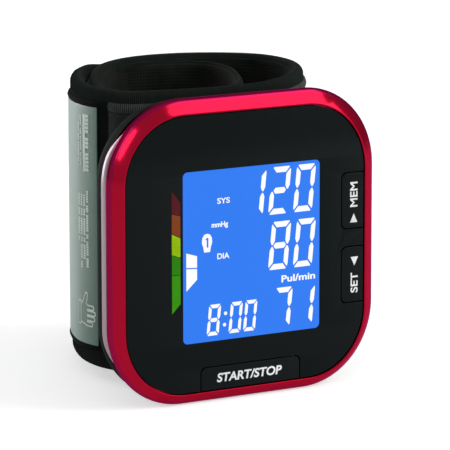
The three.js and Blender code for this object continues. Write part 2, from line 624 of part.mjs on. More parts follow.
function addAirCircuit() {
  const headTop = PUMP_BOTTOM + PUMP_HEAD_LENGTH;
  const motorBottom = headTop + SEAT_GAP;
  const pumpRight = PUMP_X + PUMP_RADIUS;
  const manifoldLeft = AIR_X - MANIFOLD_RADIUS;
  const manifoldTop = AIR_Z + MANIFOLD_LENGTH / 2;
  const motorTop = motorBottom + PUMP_MOTOR_LENGTH;
  add('pump_motor', rodAlongZ(PUMP_RADIUS, PUMP_X, PUMP_DEPTH, motorBottom, motorTop, 20), 0xb4b8bc, 0.35, 0.9);
  const pumpBody = rodAlongZ(PUMP_RADIUS, PUMP_X, PUMP_DEPTH, PUMP_BOTTOM, headTop, 20);
  const outlet = rodAlongX(NIPPLE_RADIUS, AIR_DEPTH, AIR_Z, PUMP_X, pumpRight + NIPPLE_LENGTH, 10);
  add('pump_head', join(pumpBody, outlet), 0xe2e0d8, 0.5);
  const pumpTubeFrom = pumpRight + SEAT_GAP;
  const pumpTube = tubePiece(manifoldLeft - SEAT_GAP - pumpTubeFrom);
  add('pump_tube', pumpTube.rotateZ(-Math.PI / 2).translate(pumpTubeFrom, AIR_DEPTH, AIR_Z), 0xc9cdc8, 0.55);
  const stub = MANIFOLD_RADIUS + NIPPLE_LENGTH;
  const stem = rodAlongZ(MANIFOLD_RADIUS, AIR_X, AIR_DEPTH, AIR_Z - MANIFOLD_LENGTH / 2, manifoldTop, 12);
  add('air_manifold', join(stem,
    rodAlongX(NIPPLE_RADIUS, AIR_DEPTH, AIR_Z, AIR_X - stub, AIR_X + stub, 10),
    rodAlongZ(NIPPLE_RADIUS, AIR_X, AIR_DEPTH, AIR_Z, manifoldTop + NIPPLE_LENGTH, 10),
    rodAlongY(NIPPLE_RADIUS, AIR_X, AIR_Z, AIR_DEPTH, AIR_DEPTH + stub, 10)), 0xe2e0d8, 0.5);
  const valveBody = rodAlongZ(VALVE_RADIUS, AIR_X, AIR_DEPTH, VALVE_BOTTOM, VALVE_BOTTOM + VALVE_LENGTH, 18);
  const valveNipple = rodAlongZ(NIPPLE_RADIUS, AIR_X, AIR_DEPTH, VALVE_BOTTOM - NIPPLE_LENGTH,
    VALVE_BOTTOM + JOIN_OVERLAP, 10);
  add('exhaust_valve', join(valveBody, valveNipple), 0x9a9da0, 0.4, 0.8);
  const valveTubeFrom = manifoldTop + SEAT_GAP;
  const valveTube = tubePiece(VALVE_BOTTOM - SEAT_GAP - valveTubeFrom);
  add('valve_tube', valveTube.rotateX(Math.PI / 2).translate(AIR_X, AIR_DEPTH, valveTubeFrom), 0xc9cdc8, 0.55);
  const nippleFrom = AIR_DEPTH + MANIFOLD_RADIUS + SEAT_GAP;
  const nippleTo = windingDepthAt(AIR_X + TUBE_RADIUS) + BLADDER_FROM - SEAT_GAP;
  add('air_nipple', tubePiece(nippleTo - nippleFrom).translate(AIR_X, nippleFrom, AIR_Z), 0x2a2a2c, 0.5);
}

// Depth of the winding's outer face straight behind the head at x
function windingDepthAt(x) {
  let [low, high] = BEHIND_HEAD;
  while (high - low > SHARE_FINENESS) {
    const middle = (low + high) / 2;
    if (windingCurve.getPointAt(middle).x < x) {
      low = middle;
    } else {
      high = middle;
    }
  }
  return windingCurve.getPointAt(low).y;
}

function cellGeometry(x, bottom, buttonUp) {
  const body = CELL_LENGTH - CELL_NUB;
  const bodyBottom = buttonUp ? bottom : bottom + CELL_NUB;
  const nubFrom = buttonUp ? bottom + body - JOIN_OVERLAP : bottom;
  const nubTo = buttonUp ? bottom + CELL_LENGTH : bottom + CELL_NUB + JOIN_OVERLAP;
  return join(rodAlongZ(CELL_RADIUS, x, CELL_DEPTH, bodyBottom, bodyBottom + body, 20),
    rodAlongZ(CELL_NUB_RADIUS, x, CELL_DEPTH, nubFrom, nubTo, 10));
}

// A contact spring's wire, as one unbroken helix with its ends lying flat
function springGeometry(x, bottom) {
  const stepsPerTurn = 8;
  const sides = 5;
  const steps = SPRING_TURNS * stepsPerTurn;
  const rise = CELL_SPRING - 2 * SPRING_WIRE;
  const rings = [];
  for (let step = 0; step <= steps; step += 1) {
    const angle = 2 * Math.PI * step / stepsPerTurn;
    const height = bottom + SPRING_WIRE + rise * step / steps;
    const ring = [];
    for (let side = 0; side < sides; side += 1) {
      const turn = 2 * Math.PI * side / sides;
      const radius = SPRING_RADIUS + SPRING_WIRE * Math.cos(turn);
      ring.push(new THREE.Vector3(x + radius * Math.cos(angle), CELL_DEPTH + radius * Math.sin(angle),
        height + SPRING_WIRE * Math.sin(turn)));
    }
    rings.push(ring);
  }
  return loft(rings);
}

function addBatteries() {
  const half = CONTACT_SIZE / 2;
  const contact = (xFrom, xTo, zFrom) => fitInCase(block(xFrom, xTo, CELL_DEPTH - half, CELL_DEPTH + half,
    zFrom, zFrom + CONTACT_THICK));
  const steel = 0xc7c9cc;
  add('inner_battery_cell', cellGeometry(INNER_CELL_X, INNER_CELL_BOTTOM, false), 0x3c6e8f, 0.3, 0.4);
  add('outer_battery_cell', cellGeometry(OUTER_CELL_X, OUTER_CELL_BOTTOM, true), 0x3c6e8f, 0.3, 0.4);
  const innerSpringBottom = INNER_CELL_BOTTOM + CELL_LENGTH + CELL_GAP;
  add('inner_cell_spring', springGeometry(INNER_CELL_X, innerSpringBottom), steel, 0.3, 1);
  add('outer_cell_spring', springGeometry(OUTER_CELL_X, CONTACT_TOP + CELL_GAP), steel, 0.3, 1);
  const plateBottom = BAY_BOTTOM + CELL_GAP;
  add('positive_contact', contact(INNER_CELL_X - half, INNER_CELL_X + half, plateBottom), steel, 0.3, 1);
  add('negative_contact', contact(OUTER_CELL_X - half, OUTER_CELL_X + half, plateBottom), steel, 0.3, 1);
  add('link_contact', contact(INNER_CELL_X - half, OUTER_CELL_X + half, LINK_BOTTOM), steel, 0.3, 1);
  const trayRight = OUTER_CELL_X + half;
  const trayFront = BOARD_FRONT;
  const trayBack = CELL_DEPTH + CELL_RADIUS;
  const tray = join(
    block(TRAY_LEFT, TRAY_LEFT + TRAY_WALL, trayFront, trayBack, BAY_BOTTOM - TRAY_WALL, BAY_TOP + TRAY_WALL),
    block(TRAY_LEFT, trayRight, trayFront, trayBack, BAY_BOTTOM - TRAY_WALL, BAY_BOTTOM),
    block(TRAY_LEFT, trayRight, trayFront, trayBack, BAY_TOP, BAY_TOP + TRAY_WALL),
  );
  add('battery_tray', fitInCase(tray), 0x232323, 0.6);
}

function addRearCase() {
  const outer = bowl(0, CASE_FRONT);
  const cavity = bowl(CASE_WALL, CASE_FRONT - CASE_WALL);
  const backStop = CASE_BACK + HEAD_CORNER;
  const bossFrom = BOSS_FACE + SEAT_GAP;
  const bosses = screwPlaces.map(([x, z]) => rodAlongY(REAR_BOSS_RADIUS, x, z, bossFrom, backStop, 16));
  const cradles = CRADLE_RISES.map((rise) => block(PUMP_X - CRADLE_HALF, PUMP_X + CRADLE_HALF,
    PUMP_DEPTH, backStop, PUMP_BOTTOM + rise, PUMP_BOTTOM + rise + CRADLE_WIDTH));
  const pumpRoom = rodAlongZ(PUMP_RADIUS + SEAT_GAP, PUMP_X, PUMP_DEPTH, 0, HEAD_HEIGHT, 20);
  const fittings = cut(common(join(...cradles, ...bosses), outer), pumpRoom);
  const shell = join(cut(outer, cavity), fittings);
  const screwHoles = screwPlaces.flatMap(([x, z]) => [
    rodAlongY(SCREW_RADIUS + RUN_GAP, x, z, CASE_FRONT, backStop, 10),
    rodAlongY(SCREW_HEAD_RADIUS + RUN_GAP, x, z, SCREW_SEAT, backStop, 14),
  ]);
  const studHole = STUD_RADIUS + RUN_GAP;
  const studHoles = [STUD_LOW, STUD_HIGH].map((z) => rodAlongY(studHole, STUD_X, z, SCREW_SEAT, backStop));
  const nippleHole = rodAlongY(TUBE_RADIUS + RUN_GAP, AIR_X, AIR_Z, SCREW_SEAT, backStop);
  const solidCase = cut(shell, ...screwHoles, ...studHoles, nippleHole);
  const doorBack = CELL_DEPTH + CELL_RADIUS + COVER_MARGIN;
  const doorFront = BOARD_FRONT;
  const doorLeft = OUTER_CELL_X;
  const opening = block(doorLeft, HEAD_WIDTH, doorFront, doorBack, BAY_BOTTOM, BAY_TOP);
  add('rear_case', cut(solidCase, opening), 0x17191a, 0.45);
  const door = block(doorLeft + RUN_GAP, HEAD_WIDTH, doorFront + RUN_GAP, doorBack - RUN_GAP,
    BAY_BOTTOM + RUN_GAP, BAY_TOP - RUN_GAP);
  add('battery_cover', common(cut(outer, cavity), door), 0x1b1d1e, 0.45);
}

function addCaseScrews() {
  const names = ['lower_left', 'lower_right', 'upper_left', 'upper_right'];
  const seat = SCREW_SEAT + SEAT_GAP;
  screwPlaces.forEach(([x, z], i) => {
    const head = rodAlongY(SCREW_HEAD_RADIUS, x, z, seat, seat + SCREW_HEAD, 12);
    const shank = rodAlongY(SCREW_RADIUS, x, z, BOSS_FACE - SCREW_BITE, seat + SCREW_HEAD / 2, 8);
    add(`case_screw_${names[i]}`, join(head, shank), 0x8f9398, 0.35, 1);
  });
}

function addCuffBand() {
  const layers = [LAYER_BOTTOM, LAYER_TOP];
  const backStop = windingDepthAt(STUD_X);
  const studFront = caseBackAt(STUD_X) - CASE_WALL - SEAT_GAP;
  const studs = [STUD_LOW, STUD_HIGH].map((z) => rodAlongY(STUD_RADIUS, STUD_X, z, studFront,
    backStop + FORMER_FROM + FORMER_THICK / 2));
  const studBores = [STUD_LOW, STUD_HIGH].map((z) => rodAlongY(SCREW_RADIUS + SEAT_GAP, STUD_X, z,
    studFront - CUT_PAST, backStop + COVER_THICK / 2, 10));
  const studRoom = [STUD_LOW, STUD_HIGH].map((z) => rodAlongY(STUD_RADIUS + RUN_GAP, STUD_X, z, studFront,
    backStop + FORMER_FROM + FORMER_THICK));
  const nippleRoom = rodAlongY(TUBE_RADIUS + RUN_GAP, AIR_X, AIR_Z, AIR_DEPTH,
    windingDepthAt(AIR_X) + BLADDER_FROM - SEAT_GAP / 2);
  const black = 0x232827;
  add('cuff_cover', cut(bandRibbon(0, COVER_THICK, layers), ...studRoom, nippleRoom), black, 0.9);
  const former = cut(bandRibbon(FORMER_FROM, FORMER_THICK, layers), nippleRoom);
  add('cuff_former', cut(join(former, ...studs), ...studBores), 0xd8d8d2, 0.5);
  add('air_bladder', bandRibbon(BLADDER_FROM, BLADDER_THICK, layers), 0x3a3c3e, 0.6);
  add('cuff_lining', bandRibbon(LINING_FROM, LINING_THICK, layers), 0x1d2120, 0.95);
  add('upper_binding', bandRibbon(0, BAND_THICK, [CUFF_TOP - BINDING_HEIGHT, CUFF_TOP]), 0x2d3230, 0.85);
  add('lower_binding', bandRibbon(0, BAND_THICK, [CUFF_BOTTOM, CUFF_BOTTOM + BINDING_HEIGHT]), 0x2d3230, 0.85);
  const curl = ribbon(windingCurve, [BAND_SHARE + CURL_GAP_SHARE, 1], [0, CURL_THICK],
    [CUFF_BOTTOM + CURL_DROP, CUFF_TOP - CURL_DROP], CURL_STEPS);
  add('inner_curl', climb(curl), 0x1d2120, 0.95);
  const headBack = studFront - SEAT_GAP;
  [STUD_LOW, STUD_HIGH].forEach((z, i) => {
    const head = rodAlongY(CUFF_SCREW_HEAD_RADIUS, STUD_X, z, headBack - SCREW_HEAD, headBack, 12);
    const shank = rodAlongY(SCREW_RADIUS, STUD_X, z, headBack - SCREW_HEAD / 2, backStop, 8);
    add(`cuff_screw_${i === 0 ? 'lower' : 'upper'}`, join(head, shank), 0x8f9398, 0.35, 1);
  });
}

function addCuffTail() {
  const layers = [LAYER_BOTTOM, LAYER_TOP];
  const black = 0x232827;
  add('tail_cover', tailRibbon(0, TAIL_COVER_THICK, layers), black, 0.9);
  add('tail_lining', tailRibbon(TAIL_LINING_FROM, TAIL_LINING_THICK, layers), 0x1d2120, 0.95);
  add('tail_upper_binding', tailRibbon(TAIL_LINING_FROM, TAIL_LINING_THICK,
    [CUFF_TOP - BINDING_HEIGHT, CUFF_TOP]), 0x2d3230, 0.85);
  add('tail_lower_binding', tailRibbon(TAIL_LINING_FROM, TAIL_LINING_THICK,
    [CUFF_BOTTOM, CUFF_BOTTOM + BINDING_HEIGHT]), 0x2d3230, 0.85);
  const labelHeights = [LAYER_BOTTOM + LABEL_EDGE, LAYER_TOP - LABEL_EDGE];
  add('cuff_label', tailRibbon(-LABEL_THICK - SEAT_GAP, LABEL_THICK, labelHeights, [LABEL_FROM, LABEL_TO]),
    0xb4c4ba, 0.4);
  add('hook_tape', tailRibbon(TAIL_THICK + SEAT_GAP / 2, HOOK_THICK, labelHeights, [HOOK_FROM, HOOK_TO]),
    0x141414, 0.95);
}

addBezel();
addPanel();
addButton('start_stop', buttonPlaces.start_stop, BOARD_FRONT);
addButton('memory', buttonPlaces.memory, KEY_BOARD_DEPTH);
addButton('set', buttonPlaces.set, KEY_BOARD_DEPTH);
addDisplay();
addBoards();
addAirCircuit();
addBatteries();
addRearCase();
addCaseScrews();
addCuffBand();
addCuffTail();

monitor.position.set(0, -(TRIM_FRONT + TRIM_BACK) / 2, 0);

export default monitor;
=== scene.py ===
"""Looks of the wrist blood pressure monitor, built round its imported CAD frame, in metres."""
import json
import math

import bmesh
import bpy
import numpy as np
from mathutils import Matrix, Quaternion, Vector, noise


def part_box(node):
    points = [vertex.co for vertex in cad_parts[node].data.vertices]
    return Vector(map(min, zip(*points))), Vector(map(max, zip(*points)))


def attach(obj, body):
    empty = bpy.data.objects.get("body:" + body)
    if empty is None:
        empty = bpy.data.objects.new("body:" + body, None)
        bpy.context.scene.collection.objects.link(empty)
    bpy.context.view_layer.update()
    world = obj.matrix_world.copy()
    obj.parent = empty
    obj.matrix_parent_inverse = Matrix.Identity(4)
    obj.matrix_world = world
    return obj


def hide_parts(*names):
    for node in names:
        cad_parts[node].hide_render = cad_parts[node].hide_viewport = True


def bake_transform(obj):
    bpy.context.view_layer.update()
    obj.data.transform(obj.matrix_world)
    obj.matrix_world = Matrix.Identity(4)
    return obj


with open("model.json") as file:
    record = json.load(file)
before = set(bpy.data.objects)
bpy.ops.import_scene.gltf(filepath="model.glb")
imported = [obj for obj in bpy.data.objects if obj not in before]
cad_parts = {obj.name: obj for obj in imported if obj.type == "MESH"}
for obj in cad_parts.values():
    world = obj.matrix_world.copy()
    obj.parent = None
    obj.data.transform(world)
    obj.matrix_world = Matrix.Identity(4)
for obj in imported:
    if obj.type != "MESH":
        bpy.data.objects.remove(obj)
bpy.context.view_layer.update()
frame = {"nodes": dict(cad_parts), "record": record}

# Sizes in millimetres and angles in degrees; depths count back from the front panel's face
MM = 0.001
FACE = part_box("front_panel")[0].y
HEAD_WIDTH = 73.2
HEAD_HEIGHT = 72.5
HEAD_CORNER = 19.6
LEAST_CORNER = 0.4
CORNER_STEPS = 26
BEZEL_SIDE = 3.55
BEZEL_TOP = 3.8
BEZEL_FOOT = 2.6
BEZEL_SHARP = 28
TRIM_FRONT = 2.85
TRIM_BACK = 5.05
TRIM_LEAN = 0.85
TRIM_TAPER = 1.6
TRIM_FADE_TOP = (20, 50)
TRIM_FADE_FOOT = (6, 38)

# Front panel, display and buttons
PANEL_RIGHT = 32.8
PANEL_BOTTOM = 2.85
PANEL_TOP = 68.45
PANEL_CORNER = 15.8
PANEL_CORNER_STEPS = 24
PANEL_THICK = 2.6
PANEL_EDGE = 0.06
BUTTON_CORNER = 1.4
BUTTON_THICK = 2
BUTTON_EDGE = 0.1
BUTTON_GAP = 0.26
START_LEFT = -12.9
START_RIGHT = 14.9
START_TOP = 8.55
SIDE_BUTTON_LEFT = 26.4
SET_LOW = 19.65
SET_HIGH = 33.55
MEMORY_LOW = 37.65
MEMORY_HIGH = 51.55
WINDOW_LEFT = -17.55
WINDOW_RIGHT = 20.35
WINDOW_LOW = 14.55
WINDOW_HIGH = 55.35
WINDOW_CORNER = 1.2
WINDOW_GAP = 0.03
WINDOW_SINK = 0.08
DISPLAY_EDGE = 0.05
DISPLAY_BACK_GAP = 0.25
PRINT_THICK = 0.03
LETTER_DEPTH = 0.02

# Marks on the display and the panel, in points (x, z); words fill a box (left, right, low, high)
SEGMENTS = {"0": "abcdef", "1": "bc", "2": "abdeg", "7": "abc", "8": "abcdefg"}
DIGIT_SLANT = 0.105
BIG_DIGIT = {"width": 5.35, "thick": 1.18}
PULSE_DIGIT = {"width": 4.9, "thick": 1.1}
CLOCK_DIGIT = {"width": 3.3, "thick": 0.78}
DIGIT_ROWS = [
    ((("1", -1.05), ("2", 5.8), ("0", 12.75)), 43.25, 11.3, BIG_DIGIT),
    ((("8", 5.8), ("0", 12.75)), 29.95, 11.5, BIG_DIGIT),
    ((("7", 6.9), ("1", 13.25)), 15.7, 9.75, PULSE_DIGIT),
    ((("8", -11.2), ("0", -5.2), ("0", -1.15)), 15.95, 7.4, CLOCK_DIGIT),
]
COLON_DOTS = [(-6.25, 18.2), (-5.95, 20.9)]
COLON_RADIUS = 0.44
PRESSURE_POINTER = [
    [(-16.65, 36.25), (-13.75, 35.35), (-13.75, 32.6), (-16.65, 32.8)],
    [(-16.65, 32.5), (-13.75, 32.3), (-13.75, 29.75), (-16.65, 27.2)],
]
WEARER_MARK = [
    (-11.8, 36), (-10.2, 36), (-9.95, 37.3), (-9.6, 38.2), (-9.7, 39.4), (-10.25, 40.2), (-11, 40.4),
    (-11.75, 40.2), (-12.3, 39.4), (-12.4, 38.2), (-12.05, 37.3),
]
WEARER_DIGIT = [
    (-11.1, 37.1), (-10.65, 37.1), (-10.65, 39.4), (-11.1, 39.4), (-11.4, 39.1), (-11.4, 38.8), (-11.1, 39),
]
DISPLAY_WORDS = [
    ("word_sys", "SYS", (-8.2, -4.75, 47.2, 48.55), 0.02),
    ("word_unit", "mmHg", (-9.75, -5.25, 41.3, 42.95), 0.03),
    ("word_dia", "DIA", (-8.2, -4.9, 34.05, 35.4), 0.02),
    ("word_pulse", "Pul/min", (9.6, 19.1, 26.65, 28.35), 0.025),
]
START_WORD_BOX = (-8.4, 9.7, 4.5, 6.7)
SIDE_MARKS = [
    ("memory", "MEM", (28.95, 31.05, 43, 49.05), [(28.95, 39.25), (31.05, 39.25), (30, 41.4)]),
    ("set", "SET", (29.2, 31.25, 22.05, 26.95), [(29.2, 30.85), (31.3, 30.85), (30.25, 28.7)]),
]
SCALE_SIDES = (-20.6, -18.3)
SCALE_RUNGS = [(51.35, 48.5), (45.9, 45.3), (41.2, 40.1), (36.2, 35.4), (31.45, 31.3), (22.1, 24.4)]
SCALE_GAP = 0.07

# Rear case; its taper gives (distance behind the case's front, inset)
CASE_FRONT = 5.3
CASE_WALL = 1.6
CASE_LIP_INSET = 0.9
CASE_BACK = 19.3
CASE_BACK_RADIUS = 105
CASE_BACK_CENTRE = 4
CASE_TAPER = [(0, 0), (3.2, 0.3), (6.7, 2), (10.7, 4.4), (14.7, 7.4), (18.2, 10.9), (23, 15)]
CASE_SIDE_RINGS = 40
CASE_BACK_RINGS = 12
CASE_SMOOTHING = 3
CASE_MIDDLE_GAP = 0.5
CASE_EDGE_SOFTNESS = 1.4
CASE_SHARP = 32
DOOR_ROOM = 0.35
DOOR_GAP = 0.3
PAST_THE_CASE = 60
SCREW_PLACES = [(-22.1, 6.4), (22.1, 6.4), (-22.1, 66.1), (22.1, 66.1)]
SCREW_SEAT = 11
SCREW_LIFT = 0.25
SCREW_RADIUS = 1.9
SCREW_RISE = 1.4
SCREW_WELL = 2.25
CROSS_WIDTH = 0.42
CROSS_DEPTH = 0.7
CROSS_SHARE = 0.75
PAST_THE_SCREW = 3

# Cuff windings seen from above, (x, depth) on the outer face
WINDING = [
    (-20.8, 28.9), (-20, 26), (-17.4, 23.8), (-11.8, 22.4), (-2.8, 20.8), (9.2, 20), (20.7, 22.2),
    (31.7, 28.8), (40.4, 38.3), (45, 49.3), (44.1, 59.8), (38.2, 67.8), (28.7, 72.6), (17.7, 74.3),
    (7.2, 72.6), (-2.3, 67), (-9.6, 58.6), (-14.2, 49), (-15.6, 39.5), (-12, 31), (-2.8, 26.4),
    (8.5, 24.8), (15.5, 28.2), (20.8, 35.2), (25.2, 43.3), (28.4, 52), (28.6, 60.5), (24.8, 66.6),
    (16.5, 69.2), (8, 68), (3.2, 65.3),
]
TAIL = [(-20.9, 29.2), (-22, 33.8), (-21.8, 41), (-19.3, 49.5), (-14.3, 59.7), (-6.4, 70), (3.6, 76.8)]
TAIL_LEAD = -0.35
BAND_SHARE = 0.605
CURL_SHARE = 0.6055
BAND_CLOSING = 1.1
CUFF_RISE = 0.025
TAIL_RISE = -0.03
TALL_RISE = 0.008
CUFF_BOTTOM = 3.8
TAIL_BOTTOM = 3.2
CUFF_TOP = 71.4
COVER_LOW = 7.5
COVER_HIGH = 68.6
LINING_LOW = COVER_LOW - 0.2
LINING_HIGH = CUFF_TOP - 0.9
TAPE_LAP = 0.8
BAND_DIP = 2.2
BAND_DIP_RUN = 20
TAIL_DIP = 0.9
TAIL_DIP_RUN = 10
CURL_DIP = 1.4
CURL_DIP_END = 32
CURL_DIP_RUN = 20
RING_STEP = 0.9
END_PACE = (0, 0.06, 0.2, 0.42, 0.7)
STRAP_SHARP = 60
RIPPLE_PATCH = 14.0
RIPPLE_STRETCH = 1.6
FAR_FACE_SEED = 11
THINNEST_END = 0.12
FEATHER = 16
FEATHER_LEAST = 0.2
FEATHER_SINK = 2.2
RIB_PITCH = 0.48
RIB_POINTS = 10
RIB_ROOT = 0.05
RIB_MARGIN = 0.2
BAND_RIBS_SHORT = 22
TAIL_RIBS_SHORT = 18
HEM_RIBS_SHORT = 1.4
HEM_TALL = 2.2
HEM_DEEP = 0.2
STITCH_PITCH = 2.3
STITCH_MARGIN = 1.2
LABEL_SHARES = (0.06, 0.72)
LABEL_LOW = COVER_LOW + 1.2
LABEL_HIGH = COVER_HIGH - 1.4
LABEL_FACE = -0.35
LABEL_INK_RISE = 0.14
LABEL_INK_SINK = 0.02
HOOK_SHARES = (0.66, 0.97)
HOOK_LOW = COVER_LOW + 1.5
HOOK_HIGH = COVER_HIGH - 1.5
HOOK_ROOT = 3.95
HOOK_END_MARGIN = 0.8
HOOK_SIDE_MARGIN = 1
HOOK_RADIUS = 0.1
HOOK_ROW_GAP = 1.3
HOOK_PITCH = 1.1

# Label marks: rows (along, low, high, width) of dashes, the dashes in each word, a bar and a hand in a cuff
LABEL_ROWS = [
    (3.3, 50.6, 65, 1.5), (6.9, 52, 64.5, 0.8), (8.2, 52, 63, 0.8), (3.6, 27.5, 46.5, 0.95),
    (5.1, 29, 45.5, 0.95), (6.6, 27.2, 45.5, 0.95), (8.1, 33, 45.5, 0.95),
]
DASHES_IN_WORDS = (5, 3, 7, 2, 6, 4)
DASH_STEP = 0.62
DASH_SHARE = 0.78
LABEL_BAR = [(4.9, 51), (6.1, 51), (6.1, 65), (4.9, 65)]
HAND_START = (7.6, 14)
FINGER_TIPS = (2.0, 1.1, 0.9, 1.5)
FINGER_LOW = 13.9
FINGER_STEP = 1.35
FINGER_HALF = 0.5
KNUCKLE_LINE = 4.4
THUMB = [(4.9, 18.9), (4.3, 20.6), (4.4, 21.3), (4.9, 21.6), (5.4, 21.3), (6.6, 19.3), (7.6, 18.6)]
HAND_CUFF = [(7.9, 13.5), (9.4, 13.5), (9.4, 19.1), (7.9, 19.1), (7.9, 13.5)]

# Stage and camera, in metres and degrees, with the lens in millimetres
FLOOR_REACH = 6.0
FLOOR_DROP = 0.0003
FLOOR_GLOW = 0.54
MIRRORED_GLOW = 0.2
WORLD_RAMP = {"From Min": -0.6, "From Max": 0.3, "To Min": 0.65, "To Max": 0.3}
LAMP_AIM = (0.005, 0.02, 0.036)
CAMERA_AZIMUTH = -31.8
CAMERA_ELEVATION = 10.67
CAMERA_DISTANCE = 0.8149
CAMERA_HEIGHT = 0.03565
CAMERA_LENS = 277
CAMERA_SENSOR = 36
CAMERA_SHIFT = (-0.0494, 0.0538)

# Lamps: direction, distance, width, height, radiance and turn in radians
LAMPS = {
    "key_light": ((0.52, -0.54, 0.66), 0.8, 0.42, 0.26, 3.0, 0.0),
    "fill_light": ((0.72, -0.6, 0.35), 0.9, 0.5, 0.35, 4.0, 0.0),
    "rim_light": ((-0.3, 0.95, 0.25), 0.8, 0.4, 0.5, 3.2, 0.0),
    "strip_light": ((-0.44, -0.76, 0.47), 0.9, 0.05, 0.46, 5.0, -0.5),
}


# Finishes

CLOTH_MAP = "Cloth"
WAVE_PITCH = 0.314
CLOTH_PATCH = 7
TONE_PATCH = 9
GLOSS_PATCH = 5
GLOW_PATCH = 30
DRIFT = 0.15
SOCKETS = {
    "specular": "Specular IOR Level", "specular_tint": "Specular Tint", "sheen": "Sheen Weight",
    "sheen_roughness": "Sheen Roughness", "sheen_tint": "Sheen Tint", "coat": "Coat Weight",
    "coat_roughness": "Coat Roughness", "coat_ior": "Coat IOR", "glow": "Emission Color",
    "glow_strength": "Emission Strength", "clearness": "Transmission Weight", "ior": "IOR",
}


def srgb(red, green, blue):
    """Screen colour from 0 to 255 as the linear colour that renders so."""
    shares = [value / 255 for value in (red, green, blue)]
    return tuple(s / 12.92 if s <= 0.04045 else ((s + 0.055) / 1.055) ** 2.4 for s in shares)


def shader_of(material):
    return material.node_tree.nodes["Principled BSDF"]


def plain_finish(name, color, roughness, metallic=0.0, **extras):
    """One surface; its extras have the short names of SOCKETS."""
    material = bpy.data.materials.new(name)
    material.use_nodes = True
    inputs = shader_of(material).inputs
    inputs["Base Color"].default_value = (*color, 1)
    inputs["Roughness"].default_value = roughness
    inputs["Metallic"].default_value = metallic
    for extra, value in extras.items():
        inputs[SOCKETS[extra]].default_value = value
    return material


def add_node(material, kind, values=None, **settings):
    node = material.node_tree.nodes.new(kind)
    for setting, value in settings.items():
        setattr(node, setting, value)
    for socket, value in (values or {}).items():
        node.inputs[socket].default_value = value
    return node


def wire(material, source, target):
    material.node_tree.links.new(source, target)


def clouds(material, size, detail, spot=None):
    """Soft noise in patches of the size in millimetres, on the object's own place or on a given map."""
    if spot is None:
        spot = add_node(material, "ShaderNodeTexCoord").outputs["Object"]
    cloud = add_node(material, "ShaderNodeTexNoise", {"Scale": 1 / (size * MM), "Detail": detail})
    wire(material, spot, cloud.inputs["Vector"])
    return cloud.outputs["Fac"]


def two_tones(material, source, tones, positions, socket="Base Color"):
    """Colour that runs between two tones, from one position of the source to the other."""
    ramp = add_node(material, "ShaderNodeValToRGB")
    for i, (tone, position) in enumerate(zip(tones, positions)):
        ramp.color_ramp.elements[i].position = position
        ramp.color_ramp.elements[i].color = (*tone, 1)
    wire(material, source, ramp.inputs["Fac"])
    wire(material, ramp.outputs["Color"], shader_of(material).inputs[socket])


def spread_roughness(material, size, low, high):
    """Roughness that drifts over the surface, in patches of the size in millimetres."""
    span = add_node(material, "ShaderNodeMapRange", {"To Min": low, "To Max": high})
    wire(material, clouds(material, size, 4.0), span.inputs["Value"])
    wire(material, span.outputs["Result"], shader_of(material).inputs["Roughness"])


def add_relief(material, source, height, strength):
    """Fine relief, its height in millimetres."""
    bump = add_node(material, "ShaderNodeBump", {"Strength": strength, "Distance": height * MM})
    wire(material, source, bump.inputs["Height"])
    wire(material, bump.outputs["Normal"], shader_of(material).inputs["Normal"])


def scaled(color, share):
    return tuple(min(1, share * c) for c in color)


def polished(name, color, roughness, patch, spread, metallic=0.0, **extras):
    """A smooth surface whose roughness drifts in patches of the size in millimetres."""
    material = plain_finish(name, color, roughness, metallic, **extras)
    spread_roughness(material, patch, *spread)
    return material


def moulded(name, color, roughness, grain_size=0.35, grain_height=0.012, **extras):
    """Moulded plastic, metal or rubber with a fine grain and a drifting tone and gloss."""
    material = plain_finish(name, color, roughness, **extras)
    tones = (scaled(color, 1 - DRIFT), scaled(color, 1 + DRIFT))
    two_tones(material, clouds(material, TONE_PATCH, 5.0), tones, (0.3, 0.7))
    spread_roughness(material, GLOSS_PATCH, roughness * (1 - DRIFT), min(1, roughness * (1 + DRIFT)))
    add_relief(material, clouds(material, grain_size, 3.0), grain_height, 0.5)
    return material


def printed(name, color):
    return moulded(name, color, 0.5, 0.2, 0.002, specular=0.1)


def cloth(name, dark, light, pitch, height, roughness=0.85, **extras):
    """Woven cloth on the piece's own map: two crossing sets of threads, with a soft drift of tone."""
    material = plain_finish(name, light, roughness, **extras)
    spot = add_node(material, "ShaderNodeUVMap", uv_map=CLOTH_MAP).outputs["UV"]
    threads = {"Scale": WAVE_PITCH / (pitch * MM), "Distortion": 0.6, "Detail": 1.0}
    crossing = add_node(material, "ShaderNodeMath", operation="MULTIPLY")
    for i, direction in enumerate(("X", "Y")):
        wave = add_node(material, "ShaderNodeTexWave", threads, bands_direction=direction)
        wire(material, spot, wave.inputs["Vector"])
        wire(material, wave.outputs["Fac"], crossing.inputs[i])
    tone = add_node(material, "ShaderNodeMath", {1: 0.55}, operation="MULTIPLY_ADD")
    wire(material, crossing.outputs[0], tone.inputs[0])
    wire(material, clouds(material, CLOTH_PATCH, 5.0, spot), tone.inputs[2])
    two_tones(material, tone.outputs[0], (dark, light), (0.3, 1))
    add_relief(material, crossing.outputs[0], height, 0.6)
    return material


def glowing(name, color):
    """A lit display surface under gloss, with a faint unevenness of its light."""
    material = plain_finish(name, scaled(color, 0.05), 0.12, specular=0.1, glow_strength=1.0)
    tones = (scaled(color, 0.96), scaled(color, 1.03))
    two_tones(material, clouds(material, GLOW_PATCH, 1.0), tones, (0, 1), "Emission Color")
    return material


